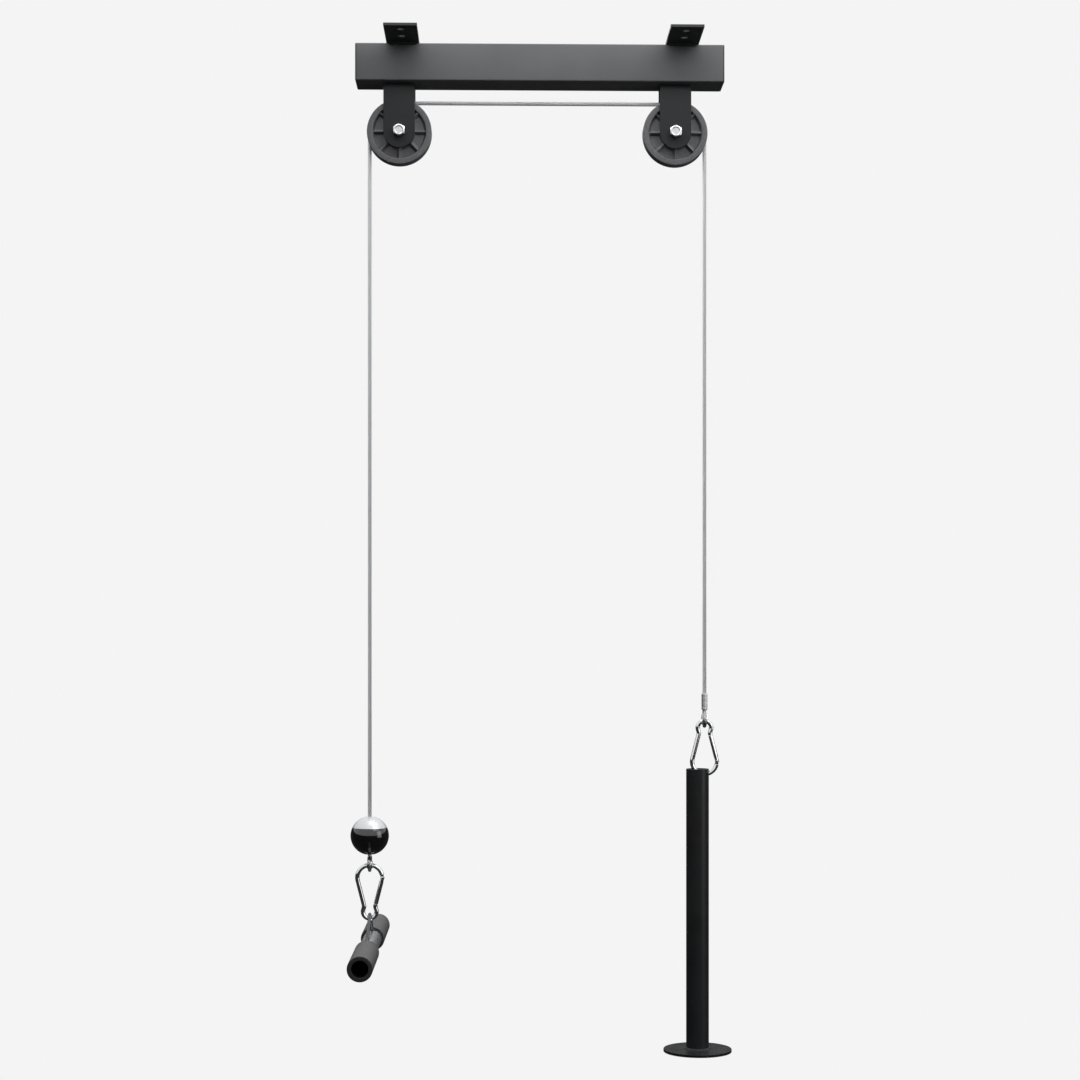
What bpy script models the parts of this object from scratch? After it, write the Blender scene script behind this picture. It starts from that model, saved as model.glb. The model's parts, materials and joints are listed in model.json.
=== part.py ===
"""Ceiling lat pulley, modelled in metres with +Z up.

The origin is the middle of the ceiling plates' top plane. X runs along the beam, Y across it.
"""

import math

import bmesh
import bpy
from mathutils import Matrix, Vector

MM = 0.001
GAP = 0.3 * MM
SIDES = {"left": -1, "right": 1}

# Beam and its end caps
BEAM_LENGTH = 500.0 * MM
BEAM_SECTION = 50.8 * MM
BEAM_WALL = 3.0 * MM
BEAM_CORNER = 2.0 * MM
CAP_FLANGE = 1.5 * MM
CAP_PLUG_DEPTH = 10.0 * MM
CAP_PLUG_WALL = 2.0 * MM

# Ceiling plates
PLATE_THICKNESS = 4.0 * MM
PLATE_WIDTH = 44.5 * MM
PLATE_REACH = 77.7 * MM
PLATE_X = {"left": -185.5 * MM, "right": 192.8 * MM}
ANCHOR_HOLE_RADIUS = 4.5 * MM
ANCHOR_HOLE_REACHES = (28.6 * MM, 59.6 * MM)

# Pulley yokes and axles
PULLEY_X = {"left": -191.0 * MM, "right": 184.5 * MM}
AXLE_DROP = 64.9 * MM
YOKE_WIDTH = 42.6 * MM
YOKE_THICKNESS = 4.0 * MM
YOKE_END_DROP = 1.4 * MM
AXLE_RADIUS = 5.0 * MM
BOLT_HEAD_FLATS = 15.0 * MM
BOLT_HEAD_HEIGHT = 6.0 * MM
BOLT_TIP = 2.0 * MM
WASHER_RADIUS = 10.0 * MM
WASHER_THICKNESS = 2.0 * MM
NUT_FLATS = 16.0 * MM
NUT_HEIGHT = 9.0 * MM
NUT_COLLAR_HEIGHT = 2.5 * MM
NUT_COLLAR_RADIUS = 7.0 * MM

# Sheaves
SHEAVE_RADIUS = 44.0 * MM
SHEAVE_WIDTH = 17.6 * MM
SHEAVE_SIDE_CLEARANCE = 0.7 * MM
SHEAVE_LIP = 2.5 * MM
RIM_WIDTH = 7.5 * MM
HUB_RADIUS = 19.0 * MM
WEB_THICKNESS = 7.2 * MM
WALL_DRAFT = 0.8 * MM
RIB_COUNT = 8
RIB_THICKNESS = 3.0 * MM
RIB_RECESS = 0.8 * MM
RIB_ROOT = 0.8 * MM
EDGE_CHAMFER = 0.6 * MM

# Ball bearings in the sheaves
BEARING_RADIUS = 13.0 * MM
BEARING_WIDTH = 8.0 * MM
RACE_WALL = 2.4 * MM
RACE_DEPTH = 1.1 * MM
RACE_MOUTH = 5.0 * MM
RACE_BOTTOM = 2.0 * MM
BALL_RADIUS = 2.35 * MM
BALL_PITCH_RADIUS = 9.0 * MM
BALL_COUNT = 7
CAGE_THICKNESS = 1.6 * MM
CAGE_WIDTH = 2.6 * MM
SHOULDER_DEPTH = 1.7 * MM
SPACER_WALL = 1.9 * MM

# Cable
CABLE_RADIUS = 2.5 * MM
CABLE_WRAP_RADIUS = 40.5 * MM
STRAND_PITCH = 5.6 * MM

# Stopper ball and its crimp sleeve
BALL_STOP_RADIUS = 26.1 * MM
BALL_STOP_Z = -1076.8 * MM
BALL_CAP_HEIGHT = 11.0 * MM
BALL_MOUTH_RADIUS = 4.6 * MM
BALL_FOOT_RADIUS = 6.8 * MM
SLEEVE_RADIUS = 7.0 * MM
SLEEVE_TOP = 16.8 * MM
SLEEVE_LENGTH = 30.0 * MM
SLEEVE_CABLE_DEPTH = 12.0 * MM
SLEEVE_STRAND_DEPTH = 14.0 * MM

# End loops and thimbles
LOOP_RADIUS = 8.0 * MM
LOOP_NECK = 13.0 * MM
LOOP_OPENING_ANGLE = math.radians(25.0)
THIMBLE_THICKNESS = 0.9 * MM
THIMBLE_WRAP_ANGLE = math.radians(150.0)

# Ferrule on the right end
FERRULE_LENGTH = 22.5 * MM
FERRULE_WIDTH = 7.5 * MM
FERRULE_DEPTH = 13.2 * MM
FERRULE_BORE_DEPTH = 10.0 * MM
FERRULE_TO_LOOP = 14.0 * MM

# Snap hooks
HOOK_WIRE_RADIUS = 3.0 * MM
HOOK_BIG_RADIUS = 16.9 * MM
HOOK_SMALL_RADIUS = 9.2 * MM
HOOK_CENTRES = 46.5 * MM
HOOK_NECK_HALF_WIDTH = 7.45 * MM
HOOK_NECK_REACH = 39.2 * MM
HOOK_NECK_BEND = 6.0 * MM
HOOK_NOSE_LENGTH = 3.0 * MM
HOOK_ARC_STEP = math.radians(18.0)
GATE_RADIUS = 2.75 * MM
GATE_PIVOT_REACH = 1.0 * MM
GATE_TAIL = 2.4 * MM
GATE_SLOT_WIDTH = 2.6 * MM
GATE_SLOT_DEPTH = 5.0 * MM
GATE_BORE_RADIUS = 1.5 * MM
GATE_BORE_DEPTH = 14.0 * MM
GATE_SPRING_LENGTH = 12.0 * MM
TONGUE_THICKNESS = 2.0 * MM
TONGUE_WIDTH = 4.6 * MM
TONGUE_ROOT = 6.0 * MM
HOOK_END_ANGLE = math.radians(-12.0)
RIVET_RADIUS = 1.0 * MM
RIVET_HEAD_RADIUS = 1.8 * MM
RIVET_HEAD_HEIGHT = 0.7 * MM

# Pull handle
HANDLE_DROP = 37.0 * MM
HANDLE_LENGTH = 416.0 * MM
HANDLE_RADIUS = 12.5 * MM
HANDLE_WALL = 1.5 * MM
GRIP_LENGTH = 144.0 * MM
GRIP_RADIUS = 16.5 * MM
GRIP_ROUND = 1.5 * MM
HANGER_RADIUS = 2.25 * MM
HANGER_FOOT_REACH = 60.0 * MM
HANGER_FOOT_LENGTH = 8.0 * MM
HANGER_KNEE_BEND = 7.0 * MM

# Weight post
POST_RADIUS = 15.5 * MM
POST_WALL = 2.5 * MM
POST_X = 215.5 * MM
POST_LENGTH = 381.6 * MM
POST_RIM_ABOVE_HOOK = 10.4 * MM
POST_HOLE_RADIUS = 4.3 * MM
DISC_RADIUS = 46.5 * MM
DISC_THICKNESS = 4.0 * MM
DISC_CHAMFER = 0.5 * MM
DISC_SEAT_HEIGHT = 0.2 * MM
DISC_SEAT_MARGIN = 1.5 * MM

# Facets
ROUND_STEPS = 24
SMALL_STEPS = 16
RIVET_STEPS = 8
CORNER_STEPS = 3
GROOVE_STEPS = 3
THIMBLE_STEPS = 4
TONGUE_STEPS = 6
HANGER_TOP_STEPS = 3
BALL_BODY_STEPS = 6
BALL_CAP_STEPS = 4
CABLE_ARC_STEPS = 10
LOOP_SPREAD_STEPS = 4
LOOP_ARC_STEPS = 5
WIRE_SIDES = 8
SMOOTH_ANGLE = math.radians(35.0)

# Drills and slots run this far past what they cut
OVERRUN = 2.0 * MM
EMPTY_SIZE = 20.0 * MM

# Heights and places that follow from the values above
BEAM_TOP = -PLATE_THICKNESS - GAP
BEAM_BOTTOM = BEAM_TOP - BEAM_SECTION
AXLE_Z = BEAM_BOTTOM - AXLE_DROP
YOKE_INNER = SHEAVE_WIDTH / 2 + SHEAVE_SIDE_CLEARANCE
YOKE_OUTER = YOKE_INNER + YOKE_THICKNESS
CABLE_X = {side: PULLEY_X[side] + SIDES[side] * CABLE_WRAP_RADIUS for side in SIDES}
THIMBLE_OUTER = CABLE_RADIUS + GAP + THIMBLE_THICKNESS
EYE_RADIUS = LOOP_RADIUS - THIMBLE_OUTER
WIRE_BELOW_LOOP_CENTRE = EYE_RADIUS - GAP - HOOK_WIRE_RADIUS
LOOP_CENTRE_LEFT = BALL_STOP_Z - BALL_STOP_RADIUS - LOOP_NECK
HOOK_BIG_CENTRE_LEFT = LOOP_CENTRE_LEFT - WIRE_BELOW_LOOP_CENTRE - HOOK_BIG_RADIUS
RING_WIRE_LEFT = HOOK_BIG_CENTRE_LEFT - HOOK_CENTRES - HOOK_SMALL_RADIUS
HANDLE_Z = RING_WIRE_LEFT - HANDLE_DROP
LOOP_CENTRE_RIGHT = -920.0 * MM
RING_WIRE_RIGHT = LOOP_CENTRE_RIGHT - WIRE_BELOW_LOOP_CENTRE
HOOK_BIG_CENTRE_RIGHT = RING_WIRE_RIGHT - HOOK_SMALL_RADIUS - HOOK_CENTRES
HOOK_BOTTOM_RIGHT = HOOK_BIG_CENTRE_RIGHT - HOOK_BIG_RADIUS - HOOK_WIRE_RADIUS
POST_RIM = HOOK_BOTTOM_RIGHT + POST_RIM_ABOVE_HOOK
FERRULE_BOTTOM = LOOP_CENTRE_RIGHT + FERRULE_TO_LOOP


def clear_scene():
    """Remove every object, so that the script starts from an empty scene."""
    for obj in list(bpy.data.objects):
        bpy.data.objects.remove(obj, do_unlink=True)


def make_material(name, colour, roughness, metallic):
    """A plain Principled material with the finish that the piece shows."""
    material = bpy.data.materials.new(name)
    material.use_nodes = True
    shader = material.node_tree.nodes["Principled BSDF"]
    shader.inputs["Base Color"].default_value = (*colour, 1.0)
    shader.inputs["Roughness"].default_value = roughness
    shader.inputs["Metallic"].default_value = metallic
    return material


def make_materials():
    """All finishes of the object, by name."""
    return {
        "powder_coat": make_material("powder_coat", (0.045, 0.045, 0.048), 0.45, 0.2),
        "black_cap": make_material("black_cap", (0.02, 0.02, 0.02), 0.5, 0.0),
        "nylon": make_material("nylon", (0.07, 0.07, 0.075), 0.5, 0.0),
        "zinc": make_material("zinc", (0.75, 0.75, 0.76), 0.25, 1.0),
        "bearing_steel": make_material("bearing_steel", (0.55, 0.55, 0.56), 0.2, 1.0),
        "cable_steel": make_material("cable_steel", (0.5, 0.5, 0.51), 0.4, 1.0),
        "chrome": make_material("chrome", (0.8, 0.8, 0.81), 0.08, 1.0),
        "gloss_black": make_material("gloss_black", (0.01, 0.01, 0.011), 0.12, 0.0),
        "satin_silver": make_material("satin_silver", (0.75, 0.75, 0.76), 0.35, 0.9),
        "grip_rubber": make_material("grip_rubber", (0.12, 0.12, 0.12), 0.7, 0.0),
    }


def mesh_from(name, bm):
    """Turn a bmesh into a mesh with outward faces and smooth round sides."""
    bmesh.ops.remove_doubles(bm, verts=bm.verts, dist=1e-7)
    bmesh.ops.recalc_face_normals(bm, faces=bm.faces)
    mesh = bpy.data.meshes.new(name)
    bm.to_mesh(mesh)
    bm.free()
    mesh.shade_smooth()
    mesh.set_sharp_from_angle(angle=SMOOTH_ANGLE)
    return mesh


def add_object(name, data, material, location, body):
    """Add one piece at a world place, as a child of the empty that its body turns or slides about."""
    obj = bpy.data.objects.new(name, data)
    bpy.context.collection.objects.link(obj)
    if not data.materials:
        data.materials.append(material)
    obj.parent = body
    obj.location = Vector(location) - body.location
    return obj


def add_body(name, location):
    """An empty on the axis that the pieces of one moving group share."""
    empty = bpy.data.objects.new(name, None)
    empty.empty_display_size = EMPTY_SIZE
    empty.location = location
    bpy.context.collection.objects.link(empty)
    return empty


def add_modifier_tool(obj, mesh, location, operation):
    """Join or cut a piece with a mesh that isn't itself a piece."""
    tool = bpy.data.objects.new("tool_" + obj.name, mesh)
    bpy.context.collection.objects.link(tool)
    tool.location = location
    tool.hide_render = True
    tool.display_type = "WIRE"
    modifier = obj.modifiers.new(operation.lower(), "BOOLEAN")
    modifier.operation = operation
    modifier.object = tool


def arc(centre, radius, start, end, steps):
    """Points on an arc from one angle to another, both included."""
    span = (end - start) / steps
    angles = [start + span * i for i in range(steps + 1)]
    return [(centre[0] + radius * math.cos(a), centre[1] + radius * math.sin(a)) for a in angles]


def fillet(before, corner, after, radius, steps=CORNER_STEPS):
    """Points of a round bend between two straight runs, in place of their corner."""
    p, q, r = Vector(before), Vector(corner), Vector(after)
    to_before = (p - q).normalized()
    to_after = (r - q).normalized()
    half = to_before.angle(to_after) / 2
    centre = q + (to_before + to_after).normalized() * (radius / math.sin(half))
    start = q + to_before * (radius / math.tan(half)) - centre
    sweep = start.angle_signed(q + to_after * (radius / math.tan(half)) - centre)
    angle = math.atan2(start.y, start.x)
    return arc(centre, radius, angle, angle - sweep, steps)


def skin(rings, closed=False):
    """Skin rings of equal count into one closed body, capped at its ends or joined into a loop."""
    bm = bmesh.new()
    loops = [[bm.verts.new(point) for point in ring] for ring in rings]
    count = len(loops[0])
    pairs = list(zip(loops, loops[1:]))
    if closed:
        pairs.append((loops[-1], loops[0]))
    else:
        bm.faces.new(loops[0])
        bm.faces.new(loops[-1])
    for first, second in pairs:
        for i in range(count):
            j = (i + 1) % count
            bm.faces.new((first[i], first[j], second[j], second[i]))
    return bm


def turned(name, profile, steps, axis="Z"):
    """Turn a closed profile of (radius, height) points about an axis."""
    bm = bmesh.new()
    verts = [bm.verts.new((radius, 0.0, height)) for radius, height in profile]
    edges = [bm.edges.new((a, b)) for a, b in zip(verts, verts[1:] + verts[:1])]
    bmesh.ops.spin(bm, geom=verts + edges, cent=(0, 0, 0), axis=(0, 0, 1),
                   angle=math.tau, steps=steps, use_merge=True)
    if axis == "Y":
        bmesh.ops.rotate(bm, verts=bm.verts, matrix=Matrix.Rotation(-math.pi / 2, 3, "X"))
    return mesh_from(name, bm)


def solid_turned(name, profile, steps, axis="Z"):
    """Turn an open profile of (radius, height) points into a solid with flat ends."""
    turns = [math.tau * i / steps for i in range(steps)]
    rings = [[(r * math.cos(a), r * math.sin(a), h) for a in turns] for r, h in profile]
    if axis == "Y":
        rings = [[(x, z, y) for x, y, z in ring] for ring in rings]
    return mesh_from(name, skin(rings))


def ring_profile(inner, outer, low, high):
    """The rectangle that a washer, spacer or plain ring is turned from."""
    return [(inner, low), (outer, low), (outer, high), (inner, high)]


def cylinder(name, radius, length, steps, axis="Z", centre=(0, 0, 0)):
    """A plain round bar centred on its own place."""
    bm = bmesh.new()
    bmesh.ops.create_cone(bm, cap_ends=True, segments=steps, radius1=radius, radius2=radius, depth=length)
    turn = {"X": Matrix.Rotation(math.pi / 2, 3, "Y"), "Y": Matrix.Rotation(math.pi / 2, 3, "X")}
    if axis in turn:
        bmesh.ops.rotate(bm, verts=bm.verts, matrix=turn[axis])
    bmesh.ops.translate(bm, verts=bm.verts, vec=centre)
    return mesh_from(name, bm)


def extruded(name, outline, thickness):
    """Extrude an outline of (x, z) points evenly to both sides along Y."""
    rings = [[(x, y, z) for x, z in outline] for y in (-thickness / 2, thickness / 2)]
    return mesh_from(name, skin(rings))


def rounded_square(size, radius, steps=CORNER_STEPS):
    """Outline of a square with round corners."""
    reach = size / 2 - radius
    points = []
    for i, (sx, sy) in enumerate(((1, 1), (-1, 1), (-1, -1), (1, -1))):
        start = i * math.pi / 2
        points += arc((sx * reach, sy * reach), radius, start, start + math.pi / 2, steps)
    return points


def obround(half_x, half_y, steps=SMALL_STEPS):
    """Outline with round ends and straight sides, longer along y, with no point on the x axis."""
    points = []
    for i in range(steps):
        angle = math.tau * (i + 0.5) / steps
        shift = math.copysign(half_y - half_x, math.sin(angle))
        points.append((half_x * math.cos(angle), half_x * math.sin(angle) + shift))
    return points


def planar_sweep(path, section):
    """Rings of a section swept along a path in a plane, given as (along, up) points.

    Section points are (to the left of travel, out of the plane). Rings come back as
    (along, up, out) points.
    """
    rings = []
    last = len(path) - 1
    for i, point in enumerate(path):
        ahead = Vector(path[min(i + 1, last)])
        behind = Vector(path[max(i - 1, 0)])
        direction = (ahead - behind).normalized()
        left = Vector((-direction.y, direction.x))
        rings.append([(point[0] + left.x * a, point[1] + left.y * a, b) for a, b in section])
    return rings


def wire_section(radius, sides=WIRE_SIDES):
    """Round section of a wire."""
    return [(radius * math.cos(math.tau * i / sides), radius * math.sin(math.tau * i / sides))
            for i in range(sides)]


def in_xz(rings):
    """Lay swept rings in the X-Z plane."""
    return [[(a, c, b) for a, b, c in ring] for ring in rings]


def in_yz(rings):
    """Lay swept rings in the Y-Z plane."""
    return [[(c, a, b) for a, b, c in ring] for ring in rings]


def cable_curve(name, points, material):
    """A cable tube with filled ends along given points."""
    curve = bpy.data.curves.new(name, "CURVE")
    curve.dimensions = "3D"
    curve.bevel_depth = CABLE_RADIUS
    curve.bevel_resolution = 2
    curve.use_fill_caps = True
    spline = curve.splines.new("POLY")
    spline.points.add(len(points) - 1)
    for slot, point in zip(spline.points, points):
        slot.co = (*point, 1.0)
    curve.materials.append(material)
    return curve


def build_beam(body, mats):
    """Square tube along X."""
    half = BEAM_LENGTH / 2 - CAP_FLANGE - GAP
    outer = rounded_square(BEAM_SECTION, BEAM_CORNER)
    inner = rounded_square(BEAM_SECTION - 2 * BEAM_WALL, BEAM_CORNER / 2)
    order = ((outer, -half), (outer, half), (inner, half), (inner, -half))
    rings = [[(x, y, z) for y, z in outline] for outline, x in order]
    mesh = mesh_from("beam_tube", skin(rings, closed=True))
    middle = (0, 0, BEAM_TOP - BEAM_SECTION / 2)
    add_object("beam_tube", mesh, mats["powder_coat"], middle, body)


def build_end_cap(side, body, mats):
    """Plastic cap with a flange over the tube's end and a hollow plug inside it."""
    flange = rounded_square(BEAM_SECTION, BEAM_CORNER)
    plug_size = BEAM_SECTION - 2 * BEAM_WALL - 2 * GAP
    plug = rounded_square(plug_size, BEAM_CORNER / 2)
    pocket = rounded_square(plug_size - 2 * CAP_PLUG_WALL, BEAM_CORNER / 2)
    plug_end = CAP_FLANGE + CAP_PLUG_DEPTH
    order = ((flange, 0), (flange, CAP_FLANGE), (plug, CAP_FLANGE), (plug, plug_end),
             (pocket, plug_end), (pocket, CAP_FLANGE))
    sign = SIDES[side]
    rings = [[(-sign * depth, y, z) for y, z in outline] for outline, depth in order]
    name = "beam_end_cap_" + side
    mesh = mesh_from(name, skin(rings))
    place = (sign * BEAM_LENGTH / 2, 0, BEAM_TOP - BEAM_SECTION / 2)
    add_object(name, mesh, mats["black_cap"], place, body)


def build_ceiling_plate(side, body, mats):
    """Flat plate across the beam, with two anchor holes in front of it and two behind."""
    half_length = BEAM_SECTION / 2 + PLATE_REACH
    half_width = PLATE_WIDTH / 2
    corners = ((-half_width, -half_length), (half_width, -half_length),
               (half_width, half_length), (-half_width, half_length))
    rings = [[(x, y, z) for x, y in corners] for z in (-PLATE_THICKNESS / 2, PLATE_THICKNESS / 2)]
    name = "ceiling_plate_" + side
    plate = add_object(name, mesh_from(name, skin(rings)), mats["powder_coat"],
                       (PLATE_X[side], 0, -PLATE_THICKNESS / 2), body)
    for reach in ANCHOR_HOLE_REACHES:
        for sign in (-1, 1):
            y = sign * (BEAM_SECTION / 2 + reach)
            drill_length = PLATE_THICKNESS + 2 * OVERRUN
            drill = cylinder("anchor_drill", ANCHOR_HOLE_RADIUS, drill_length, SMALL_STEPS)
            add_modifier_tool(plate, drill, (PLATE_X[side], y, -PLATE_THICKNESS / 2), "DIFFERENCE")


def build_yoke_plates(side, body, mats):
    """Two upright plates, one on each side of the sheave, with round lower ends."""
    half = YOKE_WIDTH / 2
    top = AXLE_DROP - GAP
    outline = [(half, top), (-half, top)]
    outline += arc((0, -YOKE_END_DROP), half, math.pi, math.tau, ROUND_STEPS // 2)
    for row, sign in (("front", -1), ("rear", 1)):
        name = f"yoke_plate_{side}_{row}"
        y = sign * (YOKE_INNER + YOKE_THICKNESS / 2)
        place = (PULLEY_X[side], y, AXLE_Z)
        plate = add_object(name, extruded(name, outline, YOKE_THICKNESS), mats["powder_coat"], place, body)
        drill_length = YOKE_THICKNESS + 2 * OVERRUN
        drill = cylinder("axle_drill", AXLE_RADIUS + GAP, drill_length, SMALL_STEPS, "Y")
        add_modifier_tool(plate, drill, place, "DIFFERENCE")


def half_sheave_profile():
    """One side of the sheave from its hub's face to the groove's bottom, as (radius, side) points."""
    face = SHEAVE_WIDTH / 2
    web = WEB_THICKNESS / 2
    rim_inner = SHEAVE_RADIUS - RIM_WIDTH
    groove = CABLE_RADIUS + GAP
    points = [(HUB_RADIUS, face), (HUB_RADIUS + WALL_DRAFT, web), (rim_inner - WALL_DRAFT, web)]
    points += [(rim_inner, face), (SHEAVE_RADIUS - EDGE_CHAMFER, face)]
    points += [(SHEAVE_RADIUS, face - EDGE_CHAMFER), (SHEAVE_RADIUS, face - SHEAVE_LIP)]
    points += arc((CABLE_WRAP_RADIUS, 0), groove, math.pi / 2, math.pi, GROOVE_STEPS)
    return points


def build_sheave(side, body, mats):
    """Grooved nylon wheel with a recessed, ribbed web and a seat for its bearing."""
    seat = BEARING_RADIUS + GAP
    shoulder = BEARING_RADIUS - SHOULDER_DEPTH
    face = SHEAVE_WIDTH / 2
    seat_end = BEARING_WIDTH / 2 + GAP
    half = half_sheave_profile()
    profile = [(seat, -face)] + [(r, -y) for r, y in half] + half[-2::-1]
    profile += [(shoulder, face), (shoulder, seat_end), (seat, seat_end)]
    name = "sheave_" + side
    place = (PULLEY_X[side], 0, AXLE_Z)
    sheave = add_object(name, turned(name, profile, ROUND_STEPS, "Y"), mats["nylon"], place, body)
    add_modifier_tool(sheave, rib_mesh(), place, "UNION")


def rib_mesh():
    """The ribs, each a bar through the web from the hub to the rim."""
    inner = HUB_RADIUS - RIB_ROOT
    outer = SHEAVE_RADIUS - RIM_WIDTH + RIB_ROOT
    reach = SHEAVE_WIDTH / 2 - RIB_RECESS
    bm = bmesh.new()
    for i in range(RIB_COUNT):
        turn = Matrix.Rotation(math.tau * i / RIB_COUNT, 4, "Y")
        slide = Matrix.Translation(((inner + outer) / 2, 0, 0))
        size = Matrix.Diagonal((outer - inner, 2 * reach, RIB_THICKNESS, 1))
        bmesh.ops.create_cube(bm, size=1.0, matrix=turn @ slide @ size)
    return mesh_from("ribs", bm)


def race_profile(bore, land, groove, half):
    """Section of a bearing ring, from its plain side to the side with the ball's groove."""
    mouth = RACE_MOUTH / 2
    bottom = RACE_BOTTOM / 2
    return [(bore, -half), (bore, half), (land, half), (land, mouth), (groove, bottom),
            (groove, -bottom), (land, -mouth), (land, -half)]


def build_bearing(side, fixed, turning, cage_body, mats):
    """Outer ring in the sheave, inner ring on the axle, and caged balls between them."""
    place = (PULLEY_X[side], 0, AXLE_Z)
    half = BEARING_WIDTH / 2
    steel = mats["bearing_steel"]
    outer_land = BEARING_RADIUS - RACE_WALL
    outer = race_profile(BEARING_RADIUS, outer_land, outer_land + RACE_DEPTH, half)
    bore = AXLE_RADIUS + GAP
    inner_land = 2 * BALL_PITCH_RADIUS - outer_land
    inner = race_profile(bore, inner_land, inner_land - RACE_DEPTH, half)
    name = "bearing_outer_ring_" + side
    add_object(name, turned(name, outer, SMALL_STEPS, "Y"), steel, place, turning)
    name = "bearing_inner_ring_" + side
    add_object(name, turned(name, inner, SMALL_STEPS, "Y"), steel, place, fixed)
    name = "bearing_ball_cage_" + side
    cage_inner = BALL_PITCH_RADIUS - CAGE_THICKNESS / 2
    cage = ring_profile(cage_inner, cage_inner + CAGE_THICKNESS, -CAGE_WIDTH / 2, CAGE_WIDTH / 2)
    ring = add_object(name, turned(name, cage, 2 * BALL_COUNT, "Y"), steel, place, cage_body)
    add_modifier_tool(ring, ball_mesh(), place, "UNION")


def ball_mesh():
    """The bearing's balls, evenly round its pitch circle."""
    bm = bmesh.new()
    for i in range(BALL_COUNT):
        angle = math.tau * (i + 0.5) / BALL_COUNT
        spot = (BALL_PITCH_RADIUS * math.cos(angle), 0, BALL_PITCH_RADIUS * math.sin(angle))
        bmesh.ops.create_icosphere(bm, subdivisions=1, radius=BALL_RADIUS, matrix=Matrix.Translation(spot))
    return mesh_from("balls", bm)


def hexagon(flats):
    """Outline of a hexagon with a corner at the top."""
    corner = flats / 2 / math.cos(math.pi / 6)
    return [(corner * math.sin(math.tau * i / 6), corner * math.cos(math.tau * i / 6)) for i in range(6)]


def build_axle(side, body, mats):
    """Bolt through both yoke plates, with spacers, a washer and a lock nut."""
    x = PULLEY_X[side]
    bore = AXLE_RADIUS + GAP
    washer_face = YOKE_OUTER + GAP
    nut_face = washer_face + WASHER_THICKNESS + GAP
    nut_end = nut_face + NUT_HEIGHT
    head_face = -YOKE_OUTER - GAP
    tip = nut_end + BOLT_TIP
    shank = cylinder("shank", AXLE_RADIUS, tip - head_face, SMALL_STEPS, "Y", (0, (tip + head_face) / 2, 0))
    name = "axle_bolt_" + side
    head = extruded(name, hexagon(BOLT_HEAD_FLATS), BOLT_HEAD_HEIGHT)
    head_y = head_face - BOLT_HEAD_HEIGHT / 2
    bolt = add_object(name, head, mats["zinc"], (x, head_y, AXLE_Z), body)
    add_modifier_tool(bolt, shank, (x, 0, AXLE_Z), "UNION")
    name = "axle_washer_" + side
    washer = turned(name, ring_profile(bore, WASHER_RADIUS, 0, WASHER_THICKNESS), SMALL_STEPS, "Y")
    add_object(name, washer, mats["zinc"], (x, washer_face, AXLE_Z), body)
    build_lock_nut(side, body, mats, nut_face)
    spacer_length = YOKE_INNER - BEARING_WIDTH / 2 - 2 * GAP
    for row, sign in (("front", -1), ("rear", 1)):
        name = f"axle_spacer_{side}_{row}"
        half = spacer_length / 2
        spacer = turned(name, ring_profile(bore, bore + SPACER_WALL, -half, half), SMALL_STEPS, "Y")
        y = sign * (BEARING_WIDTH / 2 + GAP + half)
        add_object(name, spacer, mats["zinc"], (x, y, AXLE_Z), body)


def build_lock_nut(side, body, mats, nut_face):
    """Hexagon nut with the round collar of its locking insert."""
    name = "axle_lock_nut_" + side
    hex_height = NUT_HEIGHT - NUT_COLLAR_HEIGHT
    place = (PULLEY_X[side], nut_face + hex_height / 2, AXLE_Z)
    nut = add_object(name, extruded(name, hexagon(NUT_FLATS), hex_height), mats["zinc"], place, body)
    collar_length = NUT_HEIGHT - hex_height / 2
    collar = cylinder("collar", NUT_COLLAR_RADIUS, collar_length, SMALL_STEPS, "Y")
    collar_y = nut_face + NUT_HEIGHT - collar_length / 2
    add_modifier_tool(nut, collar, (PULLEY_X[side], collar_y, AXLE_Z), "UNION")
    drill = cylinder("nut_drill", AXLE_RADIUS + GAP, NUT_HEIGHT + 2 * OVERRUN, SMALL_STEPS, "Y")
    add_modifier_tool(nut, drill, (PULLEY_X[side], nut_face + NUT_HEIGHT / 2, AXLE_Z), "DIFFERENCE")


def build_cable(body, mats):
    """The cable over both pulleys, and its two upright runs."""
    path = arc((PULLEY_X["left"], 0), CABLE_WRAP_RADIUS, math.pi, math.pi / 2, CABLE_ARC_STEPS)
    path += arc((PULLEY_X["right"], 0), CABLE_WRAP_RADIUS, math.pi / 2, 0, CABLE_ARC_STEPS)
    points = [(x, 0, z) for x, z in path]
    curve = cable_curve("cable_over_pulleys", points, mats["cable_steel"])
    add_object("cable_over_pulleys", curve, mats["cable_steel"], (0, 0, AXLE_Z), body)
    left_end = BALL_STOP_Z + SLEEVE_TOP - SLEEVE_CABLE_DEPTH + GAP
    right_end = FERRULE_BOTTOM + FERRULE_LENGTH - FERRULE_BORE_DEPTH + GAP
    for side, end in (("left", left_end), ("right", right_end)):
        name = "cable_run_" + side
        top = AXLE_Z - GAP
        points = [(0, 0, 0), (0, 0, end - top)]
        curve = cable_curve(name, points, mats["cable_steel"])
        add_object(name, curve, mats["cable_steel"], (CABLE_X[side], 0, top), body)


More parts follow.
